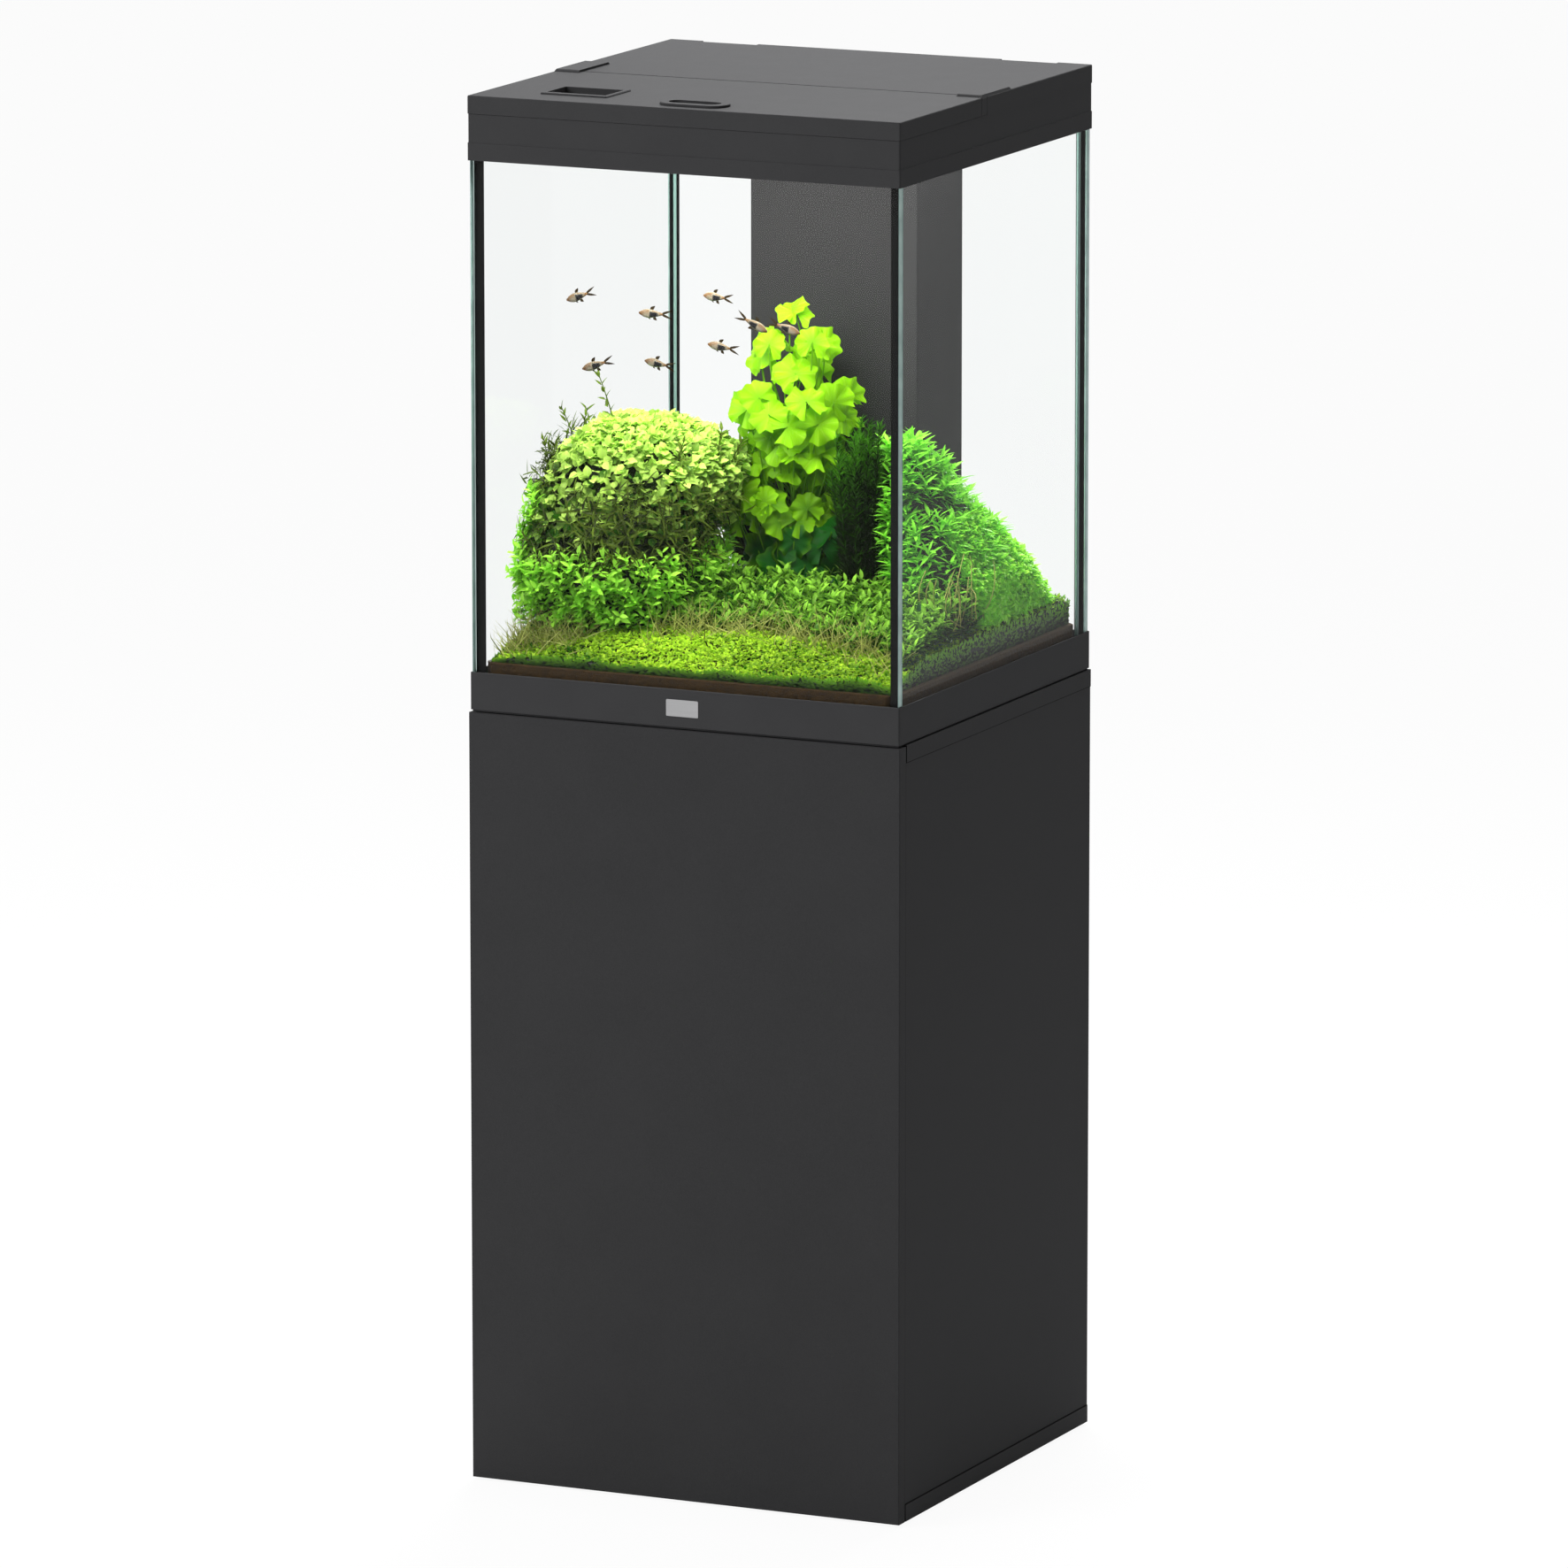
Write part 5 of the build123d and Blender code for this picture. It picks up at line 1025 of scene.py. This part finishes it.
# %% [markdown]
# ## Ferns and tall shoots
# The dark clumps are bundles of stems that fan out, each with fine needles all round, like small bottle
# brushes. Above the trimmed bush a few thin shoots have already grown out again, and bare tan stems show at
# the right.

# %% Fern clumps
# A clump is the x and y of its middle, its height, its half-width and its number of stems.
clumps = np.array([(0.092, 0.000, 0.216, 0.034, 30), (-0.088, 0.090, 0.172, 0.030, 16)])
full_clump, stem_points, needles, needle_width = 30, 8, 260, 0.0020
x, y, tall, wide, _ = np.repeat(clumps, clumps[:, 4].astype(int), axis=0).T
stems = len(x)
turn_angle = golden_angle * np.arange(stems)
fan = wide * np.sqrt((np.arange(stems) % full_clump + 0.5) / full_clump)
tip = np.stack([x + fan * np.cos(turn_angle), y + fan * np.sin(turn_angle),
                terrace + tall * rng.uniform(0.72, 1.0, stems)], -1)
foot = np.stack([x + 0.4 * fan * np.cos(turn_angle), y + 0.4 * fan * np.sin(turn_angle),
                 np.full(stems, terrace - rooting)], -1)
along = np.linspace(0, 1, stem_points)[None, :, None]
stem_piece("fern_stems", between(foot, tip, along), np.full((stems, stem_points), 0.0007), fern_green, 0.2,
           4)
at = rng.uniform(0.25, 1.0, (stems, needles, 1))
spots = between(foot, tip, at).reshape(-1, 3)
share = at.ravel()
turn_angle = rng.uniform(*any_angle, len(share))
out = np.stack([np.cos(turn_angle), np.sin(turn_angle), np.zeros(len(share))], -1)
lengths = rng.uniform(0.010, 0.017, len(share)) * np.interp(share, (0.25, 0.85, 1), (1, 1, 0.6))
brush_tone = np.repeat(rng.normal(0, 0.16, stems), needles)
headings = out * 0.7 + (0, 0, 0.7) + rng.normal(0, 0.25, out.shape)
# Painted shade: needles are darker towards the foot of each stem and lighter towards its tip.
tones = -0.45 + 1.3 * share**3 + brush_tone + rng.normal(0, 0.35, len(share))
ferns = plant_leaves("fern_needles", spots, headings, out + (0, -0.5, 0.3), lengths, needle_width / lengths,
                     blade, fern_green, tones, (0.1, 0.1, 3, 2))
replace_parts(ferns, "fern_clumps")
print(stems, "fern stems with", needles, "needles each")

# %% Tall shoots
# A shoot is the x, y and z of its foot, how far its tip leans in x, and its height.
lean_shoots = np.array([
    (-0.172, -0.055, 1.135, -0.020, 0.062), (-0.212, -0.070, 1.112, 0.014, 0.050),
    (-0.214, -0.062, 1.112, -0.020, 0.048), (-0.226, -0.105, 1.085, -0.008, 0.045),
    (-0.232, -0.100, 1.070, 0.004, 0.038), (-0.066, -0.030, 1.100, 0.010, 0.042),
    (-0.062, -0.010, 1.095, 0.022, 0.034), (-0.090, -0.080, 1.105, 0.012, 0.030),
    (-0.135, -0.110, 1.085, -0.014, 0.036)])
x, y, z, lean, tall = lean_shoots.T[..., None]
sunk, forward = 0.012, 0.006
along = np.linspace(0, 1, stem_points)[None, :]
paths = np.stack([x + lean * along**1.4, y - forward * along, z - sunk + (tall + sunk) * along], -1)
radii = np.linspace(0.0009, 0.0005, stem_points)[None] * np.ones((len(x), 1))
stem_piece("tall_shoot_stems", paths, radii, willow_brown, 0.6, 5)
spots, headings, facing, _ = shoots(paths[:, 0], paths[:, -1] - paths[:, 0], tall[:, 0] + sunk, 18, 0.45)
lengths = rng.uniform(0.008, 0.014, len(spots))
tones = 0.75 + rng.normal(0, 0.15, len(spots))
plant_leaves("tall_shoot_leaves", spots, headings, facing + (0, -0.5, 0), lengths, 0.3, lance, willow_brown,
             tones)
print(len(x), "tall shoots")

# %% Bare stems
bare_total, right_limit = 26, 0.241
foot = np.stack([rng.uniform(0.205, 0.234, bare_total), rng.uniform(-0.075, 0.035, bare_total),
                 rng.uniform(0.938, 0.950, bare_total)], -1)
bow = rng.normal(0, 1, (bare_total, 1, 3)) * (0.008, 0.014, 0.004)
along = np.linspace(0, 1, stem_points)[None, :, None]
rise = np.stack([rng.normal(0, 0.004, bare_total), rng.normal(0, 0.022, bare_total),
                 rng.uniform(0.03, 0.075, bare_total)], -1)
paths = foot[:, None] + rise[:, None] * along + bow * np.sin(np.pi * along)
paths[..., 0] = np.minimum(paths[..., 0], right_limit)
stem_piece("bare_stems", paths, np.full((bare_total, stem_points), 0.0006), straw_green, 0.55, 5)
print(bare_total, "bare stems")

# %% [markdown]
# ## Water and fish
# The tank is full to just under its rim. The water is a clear block a hair inside the panes, with a rippled
# top that mirrors a little, and it is what carries the shoal. A fish is an ellipse whose height and width
# follow its length, with fins made as leaves are.

# %% The water
inside, water_top, ripple_height = 0.2434, 1.4512, 0.0006
water_low = soil_high.z + 0.0005


def water_level(x, y):
    """Height of the water: level with small waves."""
    return water_top + ripple_height * waves(np.stack([x, y, 0 * x], -1), 60, 4)


clear_water, tree = new_material("clear_water")
clear = node(tree, "BsdfTransparent", {"Color": (0.997, 0.999, 0.999, 1)})[0]
mirror = node(tree, "BsdfGlossy", {"Color": white, "Roughness": 0.02})[0]
top_mirror = maths(tree, "MULTIPLY", mirror_share(tree, 0.01, 0.4), axis_mask(tree, "Z", 0.7))
show(tree, layered(tree, top_mirror, clear, mirror))
across_tank = np.linspace(-inside, inside, 49)
points, quads, under = draped(across_tank, across_tank, water_level, water_low)
make_piece("tank_water", points, quads, clear_water, caps=[under.tolist()])
print("water stands at", water_top)

# %% The skin of the fish
# The tone of a fish runs from gold at 0 by silver at one half to black at 1.
fish_skin, tree = new_material("fish_skin")
tone = node(tree, "Attribute", attribute_name="tone")["Fac"]
gold = blend(tree, grain_in(tree, 1500)["Tone"], tint(60, 38, 10), tint(104, 66, 20))
bright = blend(tree, remap(tree, tone, (0.0, 0.5), (0.0, 1.0)), gold, tint(112, 106, 90))
skin = blend(tree, remap(tree, tone, (0.5, 1.0), (0.0, 1.0)), bright, tint(10, 10, 12))
show(tree, node(tree, "BsdfPrincipled", {"Base Color": skin, "Roughness": 0.3, "Specular IOR Level": 0.3})[0])
fin_olive = leafy("fish_fin", tint(14, 16, 6), tint(50, 36, 12), tint(16, 18, 8), 7.0, 0.3)

fish_rings, fish_sides = 15, 16
u, angle = grid(np.linspace(0, 1, fish_rings), around(fish_sides))
tall = 0.118 * np.sin(np.pi * np.clip(u, 0.02, 1) ** 0.72) ** 1.1 + 0.026 * u + 0.006
thick = 0.42 * tall
stalk = np.clip((u - 0.78) / 0.1, 0, 1)
silver = 0.5 * np.clip((u - 0.1) / 0.15, 0, 1) * np.clip(0.75 - 0.8 * np.sin(angle), 0, 1) * (1 - stalk)
wedge = np.clip((0.9 - np.abs(np.sin(angle) + 0.15) * (0.3 + 1.3 * u)) / 0.12, 0, 1)
black = np.clip((u - 0.44) / 0.05, 0, 1) * wedge
dark_back = 0.8 * np.clip(2 * np.sin(angle) - 1.3, 0, 1)
eye = np.exp(-((u - 0.11) ** 2 / 0.0009 + (np.sin(angle) - 0.25) ** 2 / 0.03))
fish_tone = np.max([silver, black * (1 - 0.9 * stalk), dark_back, eye], axis=0)
print("a fish is", 2 * tall.max(), "of its length tall")

# %% The shoal
# Two places in x and z give the line on which a fish is seen: where it crosses y = -0.1 and where y = 0.
near = np.array([(-0.195, 1.288), (-0.106, 1.274), (-0.031, 1.297), (0.011, 1.271), (0.049, 1.269),
                 (-0.025, 1.243), (-0.175, 1.214), (-0.101, 1.220)])
far = np.array([(-0.243, 1.271), (-0.153, 1.257), (-0.078, 1.280), (-0.036, 1.254), (0.003, 1.252),
                (-0.072, 1.226), (-0.223, 1.196), (-0.148, 1.202)])
depth = np.array((-0.115, -0.085, -0.10, -0.12, -0.095, -0.08, -0.11, -0.07))
place_xz = near + (far - near) * ((depth + 0.1) / 0.1)[:, None]
swim = unit(np.array([(-1, 0.1, -0.36), (-1, -0.1, 0.02), (-1, 0.15, 0.03), (0.9, 0.2, -0.5),
                      (0.9, 0.1, -0.3), (-1, 0.05, 0.12), (-1, -0.05, -0.34), (-1, 0.1, 0.12)]))
fish_length, trunk_share = 0.036, 0.76
# A fin is its foot along and above the body, its heading back and up, and its length and width, all in body
# lengths: two tail lobes, back fin, belly fin and breast fin.
fin_rows = np.array([(0.70, 0.0, 1.0, 0.36, 0.40, 0.075), (0.70, 0.0, 1.0, -0.36, 0.40, 0.075),
                     (0.36, 0.11, 0.85, 0.7, 0.20, 0.11), (0.46, -0.10, 0.8, -0.7, 0.15, 0.10),
                     (0.30, -0.11, 0.7, -0.6, 0.10, 0.05)])


def fins(head, flank, top, nose):
    """The fins of one fish as flat leaves that stand on its back, belly and tail."""
    behind, above, back, up, length, width = fin_rows.T[..., None]
    foot = nose - head * (behind * fish_length) + top * (above * fish_length)
    heading = -head * back + top * up
    facing = np.tile(flank, (len(fin_rows), 1))
    return leaf_cloud(foot, heading, facing, length[:, 0] * fish_length, width[:, 0] * fish_length, lance,
                      0.0, 0.0, 5, 5)


for number, (depth_y, xz, head) in enumerate(zip(depth, place_xz, swim), start=1):
    flank = unit(np.cross((0, 0, 1), head))
    top = np.cross(head, flank)
    nose = np.array((xz[0], depth_y, xz[1])) + head * 0.5 * fish_length
    trunk = nose - head * (u * trunk_share * fish_length)[..., None]
    skin_points = (trunk + top * (tall * np.sin(angle) * fish_length)[..., None]
                   + flank * (thick * np.cos(angle) * fish_length)[..., None])
    make_piece(f"fish_{number}", skin_points, grid_quads(fish_rings, fish_sides, closed=True), fish_skin,
               tone=fish_tone.ravel(), caps=end_caps(fish_rings, fish_sides))
    fin_points, fin_quads, fin_uv = fins(head, flank, top, nose)
    make_piece(f"fish_{number}_fins", fin_points, fin_quads, fin_olive, fin_uv, np.full(len(fin_uv), 0.6))
print(len(depth), "fish")

# %% [markdown]
# ## Filter foam
# The two foam blocks in the filter column are soft, so they are crowned cushions with rounded corners and an
# open-pored finish in place of the plain solids.

# %% The foam blocks
foam_low, foam_high = (np.array(corner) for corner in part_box("filter_foams"))
coarse_tall, fine_tall, foam_gap, foam_power = 0.110, 0.090, 0.0006, 0.2


def foam_block(name, ends):
    """A block with crowned faces and round corners: a ball whose sines and cosines of latitude and longitude
    are raised to a small power, stretched to the size of the foam."""
    lat, lon = grid(np.linspace(-np.pi / 2, np.pi / 2, 31), around(64))
    level, x, y, z = (squared(t, foam_power) for t in (np.cos(lat), np.cos(lon), np.sin(lon), np.sin(lat)))
    centre = np.array((*(foam_low + foam_high)[:2] / 2, sum(ends) / 2))
    half = np.array((*(foam_high - foam_low)[:2] / 2, (ends[1] - ends[0]) / 2)) - foam_gap
    points = (centre + half * np.stack([level * x, level * y, z], -1))[1:-1]
    size = points.shape[:2]
    piece = make_piece(name, points, grid_quads(*size, closed=True), finishes["foam"], caps=end_caps(*size))
    return piece


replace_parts(foam_block("foam_coarse", (foam_low[2], foam_low[2] + coarse_tall)), "filter_foams")
foam_block("foam_fine", (foam_high[2] - fine_tall, foam_high[2]))
print("two foam blocks,", coarse_tall, "and", fine_tall, "m tall")

# %% [markdown]
# ## Finish
# Colours are shown as they are, with no film look.

# %% Show colours as they are
scene.view_settings.view_transform = "Standard"
